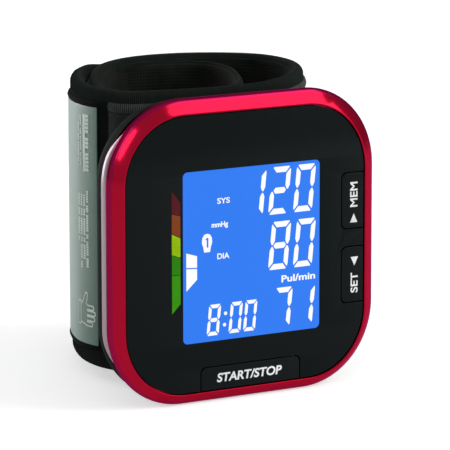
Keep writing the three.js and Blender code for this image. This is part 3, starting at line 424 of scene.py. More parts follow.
RED_METAL = polished("red_metal", (0.41, 0.003, 0.024), 0.14, 0.4, (0.11, 0.17), 1.0,
                     coat=0.07, coat_roughness=0.05, specular_tint=(1, 0.4, 0.55, 1))
# The shoulder's magenta tint is a painted reflection of light on the bezel's rounded edge, not a colour of
# its own.
RED_SHOULDER_PAINTED_REFLECTION = polished("red_shoulder_painted_reflection", (0.3, 0.003, 0.05), 0.16, 0.4, (0.13, 0.19), 1.0,
                    coat=0.07, coat_roughness=0.05, specular_tint=(1, 0.4, 0.7, 1))
SILVER_PAINT = polished("silver_paint", srgb(174, 153, 164), 0.3, 0.3, (0.26, 0.36), 0.75)
PIANO_BLACK = polished("piano_black", (0.0025, 0.005, 0.005), 0.16, 4, (0.14, 0.2), specular=0.1)
BUTTON_BLACK = polished("button_black", (0.003, 0.0055, 0.0055), 0.24, 3, (0.2, 0.28), specular=0.11)
CASE_BLACK = moulded("case_black", srgb(8, 9, 9), 0.78, 0.3, 0.02, specular=0.08)
DISPLAY_BLUE = glowing("display_blue", (0.03, 0.195, 0.87))
SEGMENT_WHITE = glowing("segment_white", (0.95, 0.96, 0.97))
INK_WHITE = printed("ink_white", srgb(250, 252, 252))
STEEL = moulded("plated_steel", srgb(190, 192, 195), 0.3, 0.15, 0.006, metallic=1.0)
SLEEVE_BLUE = moulded("cell_sleeve_blue", srgb(60, 110, 143), 0.3, metallic=0.4)
BOARD_GREEN = moulded("board_green", srgb(28, 90, 52), 0.45)
IVORY = moulded("ivory_plastic", srgb(222, 219, 208), 0.5)
SOFT_BLACK = moulded("soft_black", srgb(38, 38, 39), 0.65, 0.25, 0.02)
SILICONE = moulded("pale_silicone", srgb(196, 199, 194), 0.5)
DIFFUSER = moulded("white_diffuser", srgb(240, 242, 244), 0.4)
CLEAR = plain_finish("clear_window", (0.9, 0.95, 1), 0.05, clearness=1.0, ior=1.45)
COVER_CLOTH = cloth("cover_cloth", srgb(10, 12, 11), srgb(30, 34, 33), 0.55, 0.06,
                    sheen=0.06, sheen_roughness=0.4, specular=0.3)
# A darker, duller copy of the cover cloth for the tail's flap: painted shade, so the flap reads darker under
# the lamps.
FLAP_CLOTH_PAINTED_SHADE = cloth("flap_cloth_painted_shade", srgb(4, 7, 6), srgb(13, 18, 16), 0.55, 0.06,
                   sheen=0.01, sheen_roughness=0.4, specular=0.04)
LINING_CLOTH = cloth("lining_cloth", srgb(12, 14, 11), srgb(32, 36, 31), 0.8, 0.1, 0.95,
                     sheen=0.04, specular=0.06)
TAPE_CLOTH = cloth("tape_cloth", srgb(13, 18, 15), srgb(28, 35, 31), 0.42, 0.05, 0.9,
                   sheen=0.02, specular=0.05)
RIB_CLOTH = cloth("rib_cloth", srgb(26, 31, 28), srgb(46, 53, 49), 0.42, 0.05, 0.85,
                  sheen=0.05, specular=0.1)
# A much lighter cloth than the cover that the hem rolls from: painted highlight where the rolled hem catches
# light.
HEM_CLOTH_PAINTED_HIGHLIGHT = cloth("hem_cloth_painted_highlight", srgb(62, 68, 65), srgb(98, 105, 101), 0.42, 0.05, 0.8,
                  sheen=0.1, specular=0.2)
THREAD = moulded("thread_black", srgb(22, 24, 23), 0.7, 0.12, 0.02)
HOOK_NYLON = moulded("hook_nylon", srgb(22, 23, 23), 0.45, 0.2, 0.01)
SATIN_GLOSS = (*srgb(212, 238, 227), 1)
SATIN = cloth("label_satin", srgb(46, 79, 67), srgb(72, 111, 96), 0.25, 0.02, 0.4,
              sheen=1.0, sheen_roughness=0.3, sheen_tint=SATIN_GLOSS, specular=0.7, specular_tint=SATIN_GLOSS,
              coat=0.5, coat_roughness=0.25, coat_ior=1.6)
LABEL_INK = printed("label_ink", srgb(214, 226, 219))
SCALE_INKS = [printed(f"scale_ink_{name}", color) for name, color in (
    ("maroon", srgb(84, 20, 28)), ("brown", srgb(128, 62, 26)), ("lime", srgb(155, 198, 0)),
    ("leaf", srgb(44, 132, 2)), ("grass", srgb(54, 144, 4)))]

SLOT_FINISHES = {
    "red_bezel": RED_METAL, "silver_trim": SILVER_PAINT, "gloss_black": PIANO_BLACK, "clear_window": CLEAR,
    "blue_display": DISPLAY_BLUE, "white_plastic": DIFFUSER, "matte_black": CASE_BLACK,
    "black_rubber": SOFT_BLACK, "green_board": BOARD_GREEN, "ivory_plastic": IVORY, "clear_tube": SILICONE,
    "steel": STEEL, "cell_sleeve": SLEEVE_BLUE, "black_fabric": COVER_CLOTH, "ribbed_binding": TAPE_CLOTH,
    "satin_label": SATIN,
}
for entry in frame["record"]["subparts"]:
    node_mesh = frame["nodes"][entry["node"]].data
    node_mesh.materials.clear()
    node_mesh.materials.append(SLOT_FINISHES[entry["material_slot"]])


# Meshes

def place(points):
    """Millimetres (x, depth, z) to metres in the part's frame."""
    spots = np.asarray(points, float).reshape(-1, 3) * MM
    spots[:, 1] += FACE
    return spots


def new_mesh(name, spots, faces, edges=()):
    """A mesh from spots in metres."""
    mesh = bpy.data.meshes.new(name)
    mesh.from_pydata(np.asarray(spots, float).tolist(), list(edges), faces)
    return mesh


def mend(mesh, merge=0.0):
    """Merges points closer than a distance in metres, if one is given, and turns the faces outwards."""
    shape = bmesh.new()
    shape.from_mesh(mesh)
    if merge:
        bmesh.ops.remove_doubles(shape, verts=shape.verts, dist=merge)
    bmesh.ops.recalc_face_normals(shape, faces=shape.faces)
    shape.to_mesh(mesh)
    shape.free()
    return mesh


def points_of(mesh):
    return np.array([vertex.co for vertex in mesh.vertices], float)


def move_points(mesh, x, depth, z):
    """Puts the mesh's points at places in millimetres."""
    moved = place(np.column_stack((x, depth, z)))
    mesh.vertices.foreach_set("co", moved.astype(np.float32).ravel())


def hold(name, data):
    holder = bpy.data.objects.new(name, data)
    bpy.context.scene.collection.objects.link(holder)
    return holder


def dress(name, mesh, finishes, sharp_degrees=35):
    """Turns the faces outwards, smooths all but sharp edges and gives the piece its finishes."""
    mend(mesh)
    mesh.polygons.foreach_set("use_smooth", [True] * len(mesh.polygons))
    mesh.set_sharp_from_angle(angle=math.radians(sharp_degrees))
    mesh.materials.clear()
    for finish in finishes:
        mesh.materials.append(finish)
    return hold(name, mesh)


def make_piece(name, points, faces, finish, sharp_degrees=35, map_points=None):
    mesh = new_mesh(name, place(points), faces)
    if map_points is not None:
        layer = mesh.uv_layers.new(name=CLOTH_MAP)
        layer.data.foreach_set("uv", np.asarray(map_points, np.float32).ravel())
    return dress(name, mesh, [finish], sharp_degrees)


def belong(piece, body, slot, *nodes):
    """Says what the piece moves with and hides the CAD nodes that it stands for; the slot of its finish is
    not used.
    """
    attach(piece, body)
    if nodes:
        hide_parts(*nodes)


def loft_faces(rings, around, hoop=False):
    faces = []
    for ring in range(rings if hoop else rings - 1):
        near = ring * around
        far = (ring + 1) % rings * around
        for i in range(around):
            j = (i + 1) % around
            faces.append((near + i, near + j, far + j, far + i))
    if not hoop:
        faces.append(tuple(range(around)))
        faces.append(tuple(range((rings - 1) * around, rings * around)))
    return faces


def plain_mesh(holder):
    """The evaluated object as a mesh of its own; the holder goes."""
    bpy.context.view_layer.update()
    seen = holder.evaluated_get(bpy.context.evaluated_depsgraph_get())
    mesh = bpy.data.meshes.new_from_object(seen)
    bpy.data.objects.remove(holder)
    return mesh


def disc(x, z, radius, steps=16):
    turns = [2 * math.pi * step / steps for step in range(steps)]
    return [(x + radius * math.cos(turn), z + radius * math.sin(turn)) for turn in turns]


def rounded_outline(corners, steps=10):
    """Outline through corners (x, z, radius), each turned on its own radius."""
    outline = []
    for i, (x, z, radius) in enumerate(corners):
        here = np.array((x, z), float)
        if radius == 0:
            outline.append(tuple(here))
            continue
        before = np.array(corners[i - 1][:2]) - here
        after = np.array(corners[(i + 1) % len(corners)][:2]) - here
        before /= np.linalg.norm(before)
        after /= np.linalg.norm(after)
        half = math.acos(max(-1, min(1, float(before @ after)))) / 2
        middle = (before + after) / np.linalg.norm(before + after)
        centre = here + middle * radius / math.sin(half)
        reach = radius / math.tan(half)
        first = here + before * reach - centre
        last = here + after * reach - centre
        start = math.atan2(first[1], first[0])
        sweep = (math.atan2(last[1], last[0]) - start + math.pi) % (2 * math.pi) - math.pi
        for step in range(steps + 1):
            angle = start + sweep * step / steps
            outline.append((centre[0] + radius * math.cos(angle), centre[1] + radius * math.sin(angle)))
    return outline


def rounded_box(left, right, low, high, radius):
    return [(left, low, radius), (right, low, radius), (right, high, radius), (left, high, radius)]


def soft_plate(name, outlines, depth_from, depth_to, edge, finish):
    """A plate of the outlines' shape, holes included, with its edges rounded."""
    nearest = 1e-7
    curve = bpy.data.curves.new(name, "CURVE")
    curve.dimensions = "2D"
    curve.fill_mode = "BOTH"
    curve.extrude = (depth_to - depth_from) / 2 - edge
    curve.bevel_depth = edge
    curve.bevel_resolution = 2
    curve.offset = -edge
    for outline in outlines:
        spline = curve.splines.new("POLY")
        spline.points.add(len(outline) - 1)
        for point, (x, z) in zip(spline.points, outline):
            point.co = (x, z, 0, 1)
        spline.use_cyclic_u = True
    mesh = plain_mesh(hold(name + "_curve", curve))
    across, up, out = points_of(mesh).T
    move_points(mesh, across, (depth_from + depth_to) / 2 - out, up)
    return dress(name, mend(mesh, nearest), [finish])


def prisms(name, outlines, front, finishes, thick=PRINT_THICK):
    """Thin raised print: a flat prism for each outline of (x, z) points, and a finish for each if several."""
    points, faces, paints = [], [], []
    for index, outline in enumerate(outlines):
        base = len(points)
        count = len(outline)
        points += [(x, front - thick, z) for x, z in outline] + [(x, front, z) for x, z in outline]
        faces.append(tuple(range(base, base + count)))
        faces.append(tuple(range(base + count, base + 2 * count)))
        for i in range(count):
            j = (i + 1) % count
            faces.append((base + i, base + j, base + count + j, base + count + i))
        paints += [index if len(finishes) > 1 else 0] * (count + 2)
    piece = dress(name, new_mesh(name, place(points), faces), finishes)
    piece.data.polygons.foreach_set("material_index", paints)
    return piece


def lettering(name, words, box, finish, front, slant=0.0, weight=0.0, upright=False):
    """Plain words that fill a box (left, right, low, high); upright words read from bottom to top."""
    left, right, low, high = box
    text = bpy.data.curves.new(name, "FONT")
    text.body = words
    text.shear = slant
    text.offset = weight
    text.extrude = LETTER_DEPTH
    text.resolution_u = 5
    mesh = plain_mesh(hold(name + "_text", text))
    spots = points_of(mesh)
    along, across, out = ((spots - spots.min(0)) / (spots.max(0) - spots.min(0))).T
    if upright:
        x = right - across * (right - left)
        z = low + along * (high - low)
    else:
        x = left + along * (right - left)
        z = low + across * (high - low)
    move_points(mesh, x, front - out * PRINT_THICK, z)
    return dress(name, mesh, [finish])


# Repeats: a shape set along lines at a pitch, or on single points

def repeat_tree(along):
    tree = bpy.data.node_groups.new("set_along_lines" if along else "set_on_points", "GeometryNodeTree")
    face = tree.interface
    face.new_socket("Geometry", in_out="INPUT", socket_type="NodeSocketGeometry")
    sockets = {}
    for label, kind in (("Pitch", "NodeSocketFloat"), ("Shape", "NodeSocketObject"),
                        ("Finish", "NodeSocketMaterial")):
        sockets[label] = face.new_socket(label, in_out="INPUT", socket_type=kind).identifier
    face.new_socket("Geometry", in_out="OUTPUT", socket_type="NodeSocketGeometry")
    nodes = tree.nodes
    links = tree.links
    given = nodes.new("NodeGroupInput")
    made = nodes.new("NodeGroupOutput")
    shape = nodes.new("GeometryNodeObjectInfo")
    copies = nodes.new("GeometryNodeInstanceOnPoints")
    real = nodes.new("GeometryNodeRealizeInstances")
    paint = nodes.new("GeometryNodeSetMaterial")
    shape.inputs["As Instance"].default_value = True
    links.new(given.outputs["Shape"], shape.inputs["Object"])
    links.new(shape.outputs["Geometry"], copies.inputs["Instance"])
    if along:
        line = nodes.new("GeometryNodeMeshToCurve")
        marks = nodes.new("GeometryNodeResampleCurve")
        marks.mode = "LENGTH"
        heading = nodes.new("GeometryNodeInputTangent")
        turn = nodes.new("FunctionNodeAlignRotationToVector")
        turn.axis = "X"
        turn.pivot_axis = "Z"
        links.new(given.outputs["Geometry"], line.inputs["Mesh"])
        links.new(line.outputs["Curve"], marks.inputs["Curve"])
        links.new(given.outputs["Pitch"], marks.inputs["Length"])
        links.new(marks.outputs["Curve"], copies.inputs["Points"])
        links.new(heading.outputs["Tangent"], turn.inputs["Vector"])
        links.new(turn.outputs["Rotation"], copies.inputs["Rotation"])
    else:
        links.new(given.outputs["Geometry"], copies.inputs["Points"])
    links.new(copies.outputs["Instances"], real.inputs["Geometry"])
    links.new(real.outputs["Geometry"], paint.inputs["Geometry"])
    links.new(given.outputs["Finish"], paint.inputs["Material"])
    links.new(paint.outputs["Geometry"], made.inputs["Geometry"])
    return tree, sockets


LINE_TREE = repeat_tree(along=True)
POINT_TREE = repeat_tree(along=False)


def repeat(name, lines, shape_mesh, finish, pitch=None, sharp_degrees=50):
    """Sets the shape along lines of millimetre points at a pitch, or on each point where there is none."""
    tree, sockets = POINT_TREE if pitch is None else LINE_TREE
    points, edges = [], []
    for line in lines:
        base = len(points)
        points += list(line)
        if pitch is not None:
            edges += [(base + i, base + i + 1) for i in range(len(line) - 1)]
    holder = hold(name + "_path", new_mesh(name + "_path", place(points), [], edges))
    shape = hold(name + "_shape", shape_mesh)
    rows = holder.modifiers.new("rows", "NODES")
    rows.node_group = tree
    rows[sockets["Pitch"]] = 1.0 if pitch is None else pitch * MM
    rows[sockets["Shape"]] = shape
    rows[sockets["Finish"]] = finish
    mesh = plain_mesh(holder)
    bpy.data.objects.remove(shape)
    return dress(name, mesh, [finish], sharp_degrees)


# Head

RING_ANGLES = [(quarter - 1 + step / CORNER_STEPS) * math.pi / 2
               for quarter in range(4) for step in range(CORNER_STEPS + 1)]


def ring_points(left, bottom, top, corner, depth):
    """A rounded ring of the head's kind; its depth is a number or changes with x."""
    centres = [(-left - corner, bottom + corner), (-left - corner, top - corner),
               (left + corner, top - corner), (left + corner, bottom + corner)]
    ring = []
    for i, angle in enumerate(RING_ANGLES):
        x, z = centres[i // (CORNER_STEPS + 1)]
        spot_x = x + corner * math.cos(angle)
        spot_z = z + corner * math.sin(angle)
        ring.append((spot_x, depth(spot_x) if callable(depth) else depth, spot_z))
    return ring


def head_ring(share, depth):
    """Head outline moved in by a share of the bezel's width: 0 is its edge, 1 the panel's opening."""
    left = -HEAD_WIDTH / 2 + share * BEZEL_SIDE
    corner = HEAD_CORNER - share * BEZEL_SIDE
    return ring_points(left, share * BEZEL_FOOT, HEAD_HEIGHT - share * BEZEL_TOP, corner, depth)


def inset_ring(inset, depth):
    """Head outline moved in by one distance all round."""
    corner = max(HEAD_CORNER - inset, LEAST_CORNER)
    return ring_points(-HEAD_WIDTH / 2 + inset, inset, HEAD_HEIGHT - inset, corner, depth)


def swollen_ring(share, depth, swell):
    """A head ring that comes forward by the swell half way round each corner."""
    ring = head_ring(share, depth)
    swells = [swell * math.sin(2 * angle) ** 2 for angle in RING_ANGLES]
    return [(x, here - forward, z) for (x, here, z), forward in zip(ring, swells)]


def tapered_ring(share, depth, taper):
    """A head ring that leans in and loses depth from the straight sides towards the top and the foot."""
    ring = []
    for (x, here, z), angle in zip(head_ring(share, depth), RING_ANGLES):
        turned = math.degrees(math.asin(min(1, abs(math.sin(angle)))))
        fade_from, fade_to = TRIM_FADE_TOP if math.sin(angle) > 0 else TRIM_FADE_FOOT
        away = min(1, max(0, turned - fade_from) / (fade_to - fade_from))
        fade = away * away * (3 - 2 * away)
        lean = TRIM_LEAN * fade
        ring.append((x - lean * math.cos(angle), here - taper * fade, z - lean * math.sin(angle)))
    return ring


def head_hoop(name, rings, finish, sharp_degrees=35):
    """A closed hoop through head rings, each ring's points in one order."""
    points = [point for ring in rings for point in ring]
    return make_piece(name, points, loft_faces(len(rings), len(rings[0]), hoop=True), finish, sharp_degrees)


def bezier(ends, steps):
    first, second, third, last = (np.array(p, float) for p in ends)
    for step in range(1, steps):
        t = step / steps
        yield tuple((1 - t) ** 3 * first + 3 * (1 - t) ** 2 * t * second + 3 * (1 - t) * t ** 2 * third
                    + t ** 3 * last)


def make_bezel():
    """The red ring, in section (share of its width, depth); its shoulder wears a magenta tint, a painted
    reflection of light on the rounded edge.
    """
    bevel_end, shoulder_end = (0.24, 1.25), (0, 2.3)
    lip = bezier([(1, 0), (1, -0.24), (0.97, -0.3), (0.9, -0.27)], 6)
    shoulder = bezier([bevel_end, (0.1, 1.575), (0, 1.85), shoulder_end], 9)
    bevel = [(0.88, -0.235), (0.72, 0.136), (0.56, 0.5075), (0.4, 0.879), (0.26, 1.2036), bevel_end]
    inside = [(0, 2.44), (0.03, 2.5), (0.34, 2.5), (0.34, 5.05), (0.62, 5.05), (0.62, 4), (1.25, 4),
              (1.25, 2.85), (1, 2.85)]
    swells = {0.72: 0.06, 0.56: 0.08, 0.4: 0.06}
    profile = [(1, 0), *lip, (0.9, -0.27), *bevel, *shoulder, shoulder_end, *inside]
    rings = [swollen_ring(share, depth, swells.get(share, 0)) for share, depth in profile]
    bezel = head_hoop("bezel", rings, RED_METAL, BEZEL_SHARP)
    bezel.data.materials.append(RED_SHOULDER_PAINTED_REFLECTION)
    # The shoulder's faces get the tint of the painted reflection.
    reflection_from, reflection_to = profile.index(bevel_end), profile.index(shoulder_end)
    for face in bezel.data.polygons:
        ring = min(face.vertices) // len(RING_ANGLES)
        face.material_index = 1 if reflection_from <= ring < reflection_to else 0
    belong(bezel, "head", "red_bezel", "bezel_ring")


def make_trim():
    """The silver ring behind the bezel, which tapers in depth towards the top and the foot."""
    edge = [(0.24, 0), (0.08, 0), (0.025, 0.06), (0, 0.22)]
    rings = [tapered_ring(share, TRIM_FRONT + step, 0) for share, step in edge]
    rings += [tapered_ring(share, TRIM_BACK - step, TRIM_TAPER) for share, step in reversed(edge)]
    belong(head_hoop("silver_trim", rings, SILVER_PAINT), "head", "silver_trim", "trim_ring")


def make_panel():
    corners = [
        (-PANEL_RIGHT, PANEL_BOTTOM, PANEL_CORNER),
        (START_LEFT, PANEL_BOTTOM, 0), (START_LEFT, START_TOP, BUTTON_CORNER),
        (START_RIGHT, START_TOP, BUTTON_CORNER), (START_RIGHT, PANEL_BOTTOM, 0),
        (PANEL_RIGHT, PANEL_BOTTOM, PANEL_CORNER),
        (PANEL_RIGHT, SET_LOW, 0), (SIDE_BUTTON_LEFT, SET_LOW, BUTTON_CORNER),
        (SIDE_BUTTON_LEFT, SET_HIGH, BUTTON_CORNER), (PANEL_RIGHT, SET_HIGH, 0),
        (PANEL_RIGHT, MEMORY_LOW, 0), (SIDE_BUTTON_LEFT, MEMORY_LOW, BUTTON_CORNER),
        (SIDE_BUTTON_LEFT, MEMORY_HIGH, BUTTON_CORNER), (PANEL_RIGHT, MEMORY_HIGH, 0),
        (PANEL_RIGHT, PANEL_TOP, PANEL_CORNER), (-PANEL_RIGHT, PANEL_TOP, PANEL_CORNER),
    ]
    window = rounded_box(WINDOW_LEFT, WINDOW_RIGHT, WINDOW_LOW, WINDOW_HIGH, WINDOW_CORNER)
    outlines = [rounded_outline(corners, PANEL_CORNER_STEPS), rounded_outline(window)]
    panel = soft_plate("gloss_panel", outlines, 0, PANEL_THICK, PANEL_EDGE, PIANO_BLACK)
    belong(panel, "head", "gloss_black", "front_panel")
    lit = rounded_box(WINDOW_LEFT + WINDOW_GAP, WINDOW_RIGHT - WINDOW_GAP, WINDOW_LOW + WINDOW_GAP,
                      WINDOW_HIGH - WINDOW_GAP, WINDOW_CORNER)
    display = soft_plate("lit_display", [rounded_outline(lit)], WINDOW_SINK, PANEL_THICK - DISPLAY_BACK_GAP,
                         DISPLAY_EDGE, DISPLAY_BLUE)
    belong(display, "head", "blue_display", "display_window")


def make_button(body, node, corners):
    outline = rounded_outline(corners)
    button = soft_plate(body + "_face", [outline], 0, BUTTON_THICK, BUTTON_EDGE, BUTTON_BLACK)
    belong(button, body, "gloss_black", node)


def make_buttons():
    left, right, top = START_LEFT + BUTTON_GAP, START_RIGHT - BUTTON_GAP, START_TOP - BUTTON_GAP
    make_button("start_button", "start_stop_button", [
        (left, PANEL_BOTTOM, 0), (right, PANEL_BOTTOM, 0), (right, top, BUTTON_CORNER),
        (left, top, BUTTON_CORNER)])
    side = SIDE_BUTTON_LEFT + BUTTON_GAP
    for body, foot, head in (("set_button", SET_LOW, SET_HIGH), ("memory_button", MEMORY_LOW, MEMORY_HIGH)):
        low, high = foot + BUTTON_GAP, head - BUTTON_GAP
        make_button(body, body, [
            (side, low, BUTTON_CORNER), (PANEL_RIGHT, low, 0), (PANEL_RIGHT, high, 0),
            (side, high, BUTTON_CORNER)])


def digit_outlines(digit, left, low, height, width, thick):
    """Slanted seven-segment figure; its width leaves out the slant."""
    half = height / 2
    t = thick
    shapes = {
        "a": [(0.5 * t, height), (width - 0.5 * t, height), (width - 0.34 * t, height - 0.14 * t),
              (width - 1.15 * t, height - 1.15 * t), (1.15 * t, height - 1.15 * t),
              (0.34 * t, height - 0.14 * t)],
        "g": [(0.8 * t, half), (1.25 * t, half + 0.6 * t), (width - 1.25 * t, half + 0.6 * t),
              (width - 0.8 * t, half), (width - 1.25 * t, half - 0.6 * t), (1.25 * t, half - 0.6 * t)],
        "f": [(0.14 * t, height - 0.48 * t), (1.02 * t, height - 1.5 * t), (1.02 * t, half + 0.95 * t),
              (0.64 * t, half + 0.18 * t), (0.36 * t, half + 0.18 * t), (0, half + 0.95 * t),
              (0, height - 0.9 * t)],
    }
    shapes["d"] = [(x, height - z) for x, z in shapes["a"]]
    shapes["e"] = [(x, height - z) for x, z in shapes["f"]]
    shapes["b"] = [(width - x, z) for x, z in shapes["f"]]
    shapes["c"] = [(width - x, z) for x, z in shapes["e"]]
    return [[(left + x + DIGIT_SLANT * z, low + z) for x, z in shapes[key]] for key in SEGMENTS[digit]]


def make_display_marks():
    figures = []
    for digits, low, height, size in DIGIT_ROWS:
        for digit, left in digits:
            figures += digit_outlines(digit, left, low, height, **size)
    figures += [disc(x, z, COLON_RADIUS) for x, z in COLON_DOTS]
    figures += [*PRESSURE_POINTER, WEARER_MARK]
    marks = prisms("display_figures", figures, WINDOW_SINK, [SEGMENT_WHITE])
    wearer_digit = prisms("wearer_digit", [WEARER_DIGIT], WINDOW_SINK - PRINT_THICK, [DISPLAY_BLUE],
                          PRINT_THICK / 2)
    belong(marks, "head", "white_plastic")
    belong(wearer_digit, "head", "blue_display")
    for name, words, box, weight in DISPLAY_WORDS:
        letters = lettering(name, words, box, SEGMENT_WHITE, WINDOW_SINK, weight=weight)
        belong(letters, "head", "white_plastic")


def make_pressure_scale():
    left, right = SCALE_SIDES
    blocks = []
    for (left_top, right_top), (left_low, right_low) in zip(SCALE_RUNGS, SCALE_RUNGS[1:]):
        blocks.append([(left, left_top - SCALE_GAP), (right, right_top - SCALE_GAP),
                       (right, right_low + SCALE_GAP), (left, left_low + SCALE_GAP)])
    belong(prisms("pressure_scale", blocks, 0, SCALE_INKS), "head", "gloss_black")


def make_button_words():
    """Words and arrows, each on its button; those at the side read upwards."""
    start = lettering("word_start_stop", "START/STOP", START_WORD_BOX, INK_WHITE, 0, slant=0.14, weight=0.03)
    belong(start, "start_button", "white_plastic")
    for label, word, box, arrow in SIDE_MARKS:
        letters = lettering("word_" + label, word, box, INK_WHITE, 0, weight=0.02, upright=True)
        pointer = prisms(label + "_arrow", [arrow], 0, [INK_WHITE])
        for piece in (letters, pointer):
            belong(piece, label + "_button", "white_plastic")


# Rear case

def case_back_at(x):
    across = x - CASE_BACK_CENTRE
    return CASE_BACK + CASE_BACK_RADIUS - math.sqrt(CASE_BACK_RADIUS ** 2 - across ** 2)


def soft_least(first, second, softness):
    blend = max(softness - abs(first - second), 0) / softness
    return min(first, second) - blend * blend * softness / 4


def case_shell(name, wall, front):
    """The case's bowl, moved in by a wall, as a closed mesh with its hollow back."""
    nearest = 2e-6
    backs = [back for back, _ in CASE_TAPER]
    insets = [inset for _, inset in CASE_TAPER]
    fine = np.linspace(0, backs[-1], CASE_SIDE_RINGS)
    smooth = np.interp(fine, backs, insets)
    for _ in range(CASE_SMOOTHING):
        smooth[1:-1] = (smooth[:-2] + 2 * smooth[1:-1] + smooth[2:]) / 4
    rings = [inset_ring(CASE_LIP_INSET + wall, front)]
    for back, inset in zip(fine[1:], smooth[1:]):
        def depth(x, limit=CASE_FRONT + back):
            return soft_least(limit, case_back_at(x) - wall, CASE_EDGE_SOFTNESS)
        rings.append(inset_ring(CASE_LIP_INSET + inset + wall, depth))
    last_inset = HEAD_HEIGHT / 2 - CASE_LIP_INSET - wall - CASE_MIDDLE_GAP
    for inset in np.linspace(smooth[-1] + 1, last_inset, CASE_BACK_RINGS):
        rings.append(inset_ring(CASE_LIP_INSET + inset + wall, lambda x: case_back_at(x) - wall))
    points = [point for ring in rings for point in ring]
    mesh = new_mesh(name, place(points), loft_faces(len(rings), len(rings[0])))
    return hold(name, mend(mesh, nearest))


def rod(name, radius, x, z, depth_from, depth_to, sides=32):
    points = []
    for depth in (depth_from, depth_to):
        points += [(px, depth, pz) for px, pz in disc(x, z, radius, sides)]
    return hold(name, new_mesh(name, place(points), loft_faces(2, sides)))


def slab(name, x_from, x_to, depth_from, depth_to, z_from, z_to):
    corners = [(x_from, z_from), (x_to, z_from), (x_to, z_to), (x_from, z_to)]
    points = [(x, depth, z) for depth in (depth_from, depth_to) for x, z in corners]
    return hold(name, new_mesh(name, place(points), loft_faces(2, 4)))


def carve(holder, tools, operation="DIFFERENCE"):
    """Cuts the tools from the holder, or keeps what they share, and gives back a plain mesh."""
    for tool in tools:
        mend(tool.data)
        step = holder.modifiers.new("carve", "BOOLEAN")
        step.operation = operation
        step.solver = "EXACT"
        step.object = tool
    mesh = plain_mesh(holder)
    for tool in tools:
        bpy.data.objects.remove(tool)
    return mesh


def make_rear_case():
    """The case with its door way and screw wells, and the battery door cut from the same shell."""
    near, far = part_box("battery_cover")
    left, front, low = near.x / MM - DOOR_ROOM, (near.y - FACE) / MM - DOOR_ROOM, near.z / MM - DOOR_ROOM
    back, high = (far.y - FACE) / MM + DOOR_ROOM, far.z / MM + DOOR_ROOM
    room_front = CASE_FRONT - CASE_WALL
    tools = [case_shell("case_room", CASE_WALL, room_front),
             slab("door_way", left, PAST_THE_CASE, front, back, low, high)]
    for i, (x, z) in enumerate(SCREW_PLACES):
        tools.append(rod(f"screw_well_{i}", SCREW_WELL, x, z, SCREW_SEAT, PAST_THE_CASE))
    case_mesh = carve(case_shell("case_body", 0, CASE_FRONT), tools)
    case = dress("rear_shell", case_mesh, [CASE_BLACK], CASE_SHARP)
    belong(case, "head", "matte_black", "rear_case")
    hollow = carve(case_shell("cover_skin", 0, CASE_FRONT), [case_shell("cover_room", CASE_WALL, room_front)])
    door = slab("door_piece", left + DOOR_GAP, PAST_THE_CASE, front + DOOR_GAP, back - DOOR_GAP,
                low + DOOR_GAP, high - DOOR_GAP)
    cover_mesh = carve(hold("cover_blank", hollow), [door], "INTERSECT")
    cover = dress("battery_door_face", cover_mesh, [CASE_BLACK], CASE_SHARP)
    belong(cover, "battery_door", "matte_black", "battery_cover")


def make_screws():
    """Domed heads with a cross slot, one shape set on the four places."""
    sides = 24
    seat = SCREW_SEAT + SCREW_LIFT
    profile = [(1, 0), (1, 0.55), (0.9, 0.95), (0.68, 1.25), (0.35, SCREW_RISE)]
    points = []
    for share, height in profile:
        points += [(x, seat + height, z) for x, z in disc(0, 0, SCREW_RADIUS * share, sides)]
    mesh = new_mesh("screw_head", np.array(points) * MM, loft_faces(len(profile), sides))
    head = hold("screw_head", mend(mesh))
    bars = []
    reach, half = SCREW_RADIUS * CROSS_SHARE, CROSS_WIDTH / 2
    bottom = seat + SCREW_RISE - CROSS_DEPTH
    for wide, tall in ((reach, half), (half, reach)):
        bar = slab("cross_bar", -wide, wide, bottom, SCREW_SEAT + PAST_THE_SCREW, -tall, tall)
        bar.data.transform(Matrix.Translation((0, -FACE, 0)))
        bars.append(bar)
    places = [(x, 0, z) for x, z in SCREW_PLACES]
    screws = repeat("case_screw_heads", [places], carve(head, bars), STEEL, sharp_degrees=30)
    belong(screws, "head", "steel", "case_screw_lower_left", "case_screw_lower_right",
           "case_screw_upper_left", "case_screw_upper_right")


# Cuff

def smooth_line(corners, steps=40):
    """A smooth line through the corners, its pace set by the root of each gap."""
    spots = np.array(corners, float)
    spots = np.vstack((2 * spots[0] - spots[1], spots, 2 * spots[-1] - spots[-2]))
    line = []
    for i in range(1, len(spots) - 2):
        p0, p1, p2, p3 = spots[i - 1:i + 3]
        d0, d1, d2 = (math.sqrt(np.linalg.norm(b - a)) for a, b in ((p0, p1), (p1, p2), (p2, p3)))
        leave = ((p1 - p0) / d0 - (p2 - p0) / (d0 + d1) + (p2 - p1) / d1) * d1
        meet = ((p2 - p1) / d1 - (p3 - p1) / (d1 + d2) + (p3 - p2) / d2) * d1
        for step in range(steps):
            t = step / steps
            line.append(p1 + leave * t + (-3 * p1 + 3 * p2 - 2 * leave - meet) * t ** 2
                        + (2 * p1 - 2 * p2 + leave + meet) * t ** 3)
    line.append(spots[-2])
    return np.array(line)


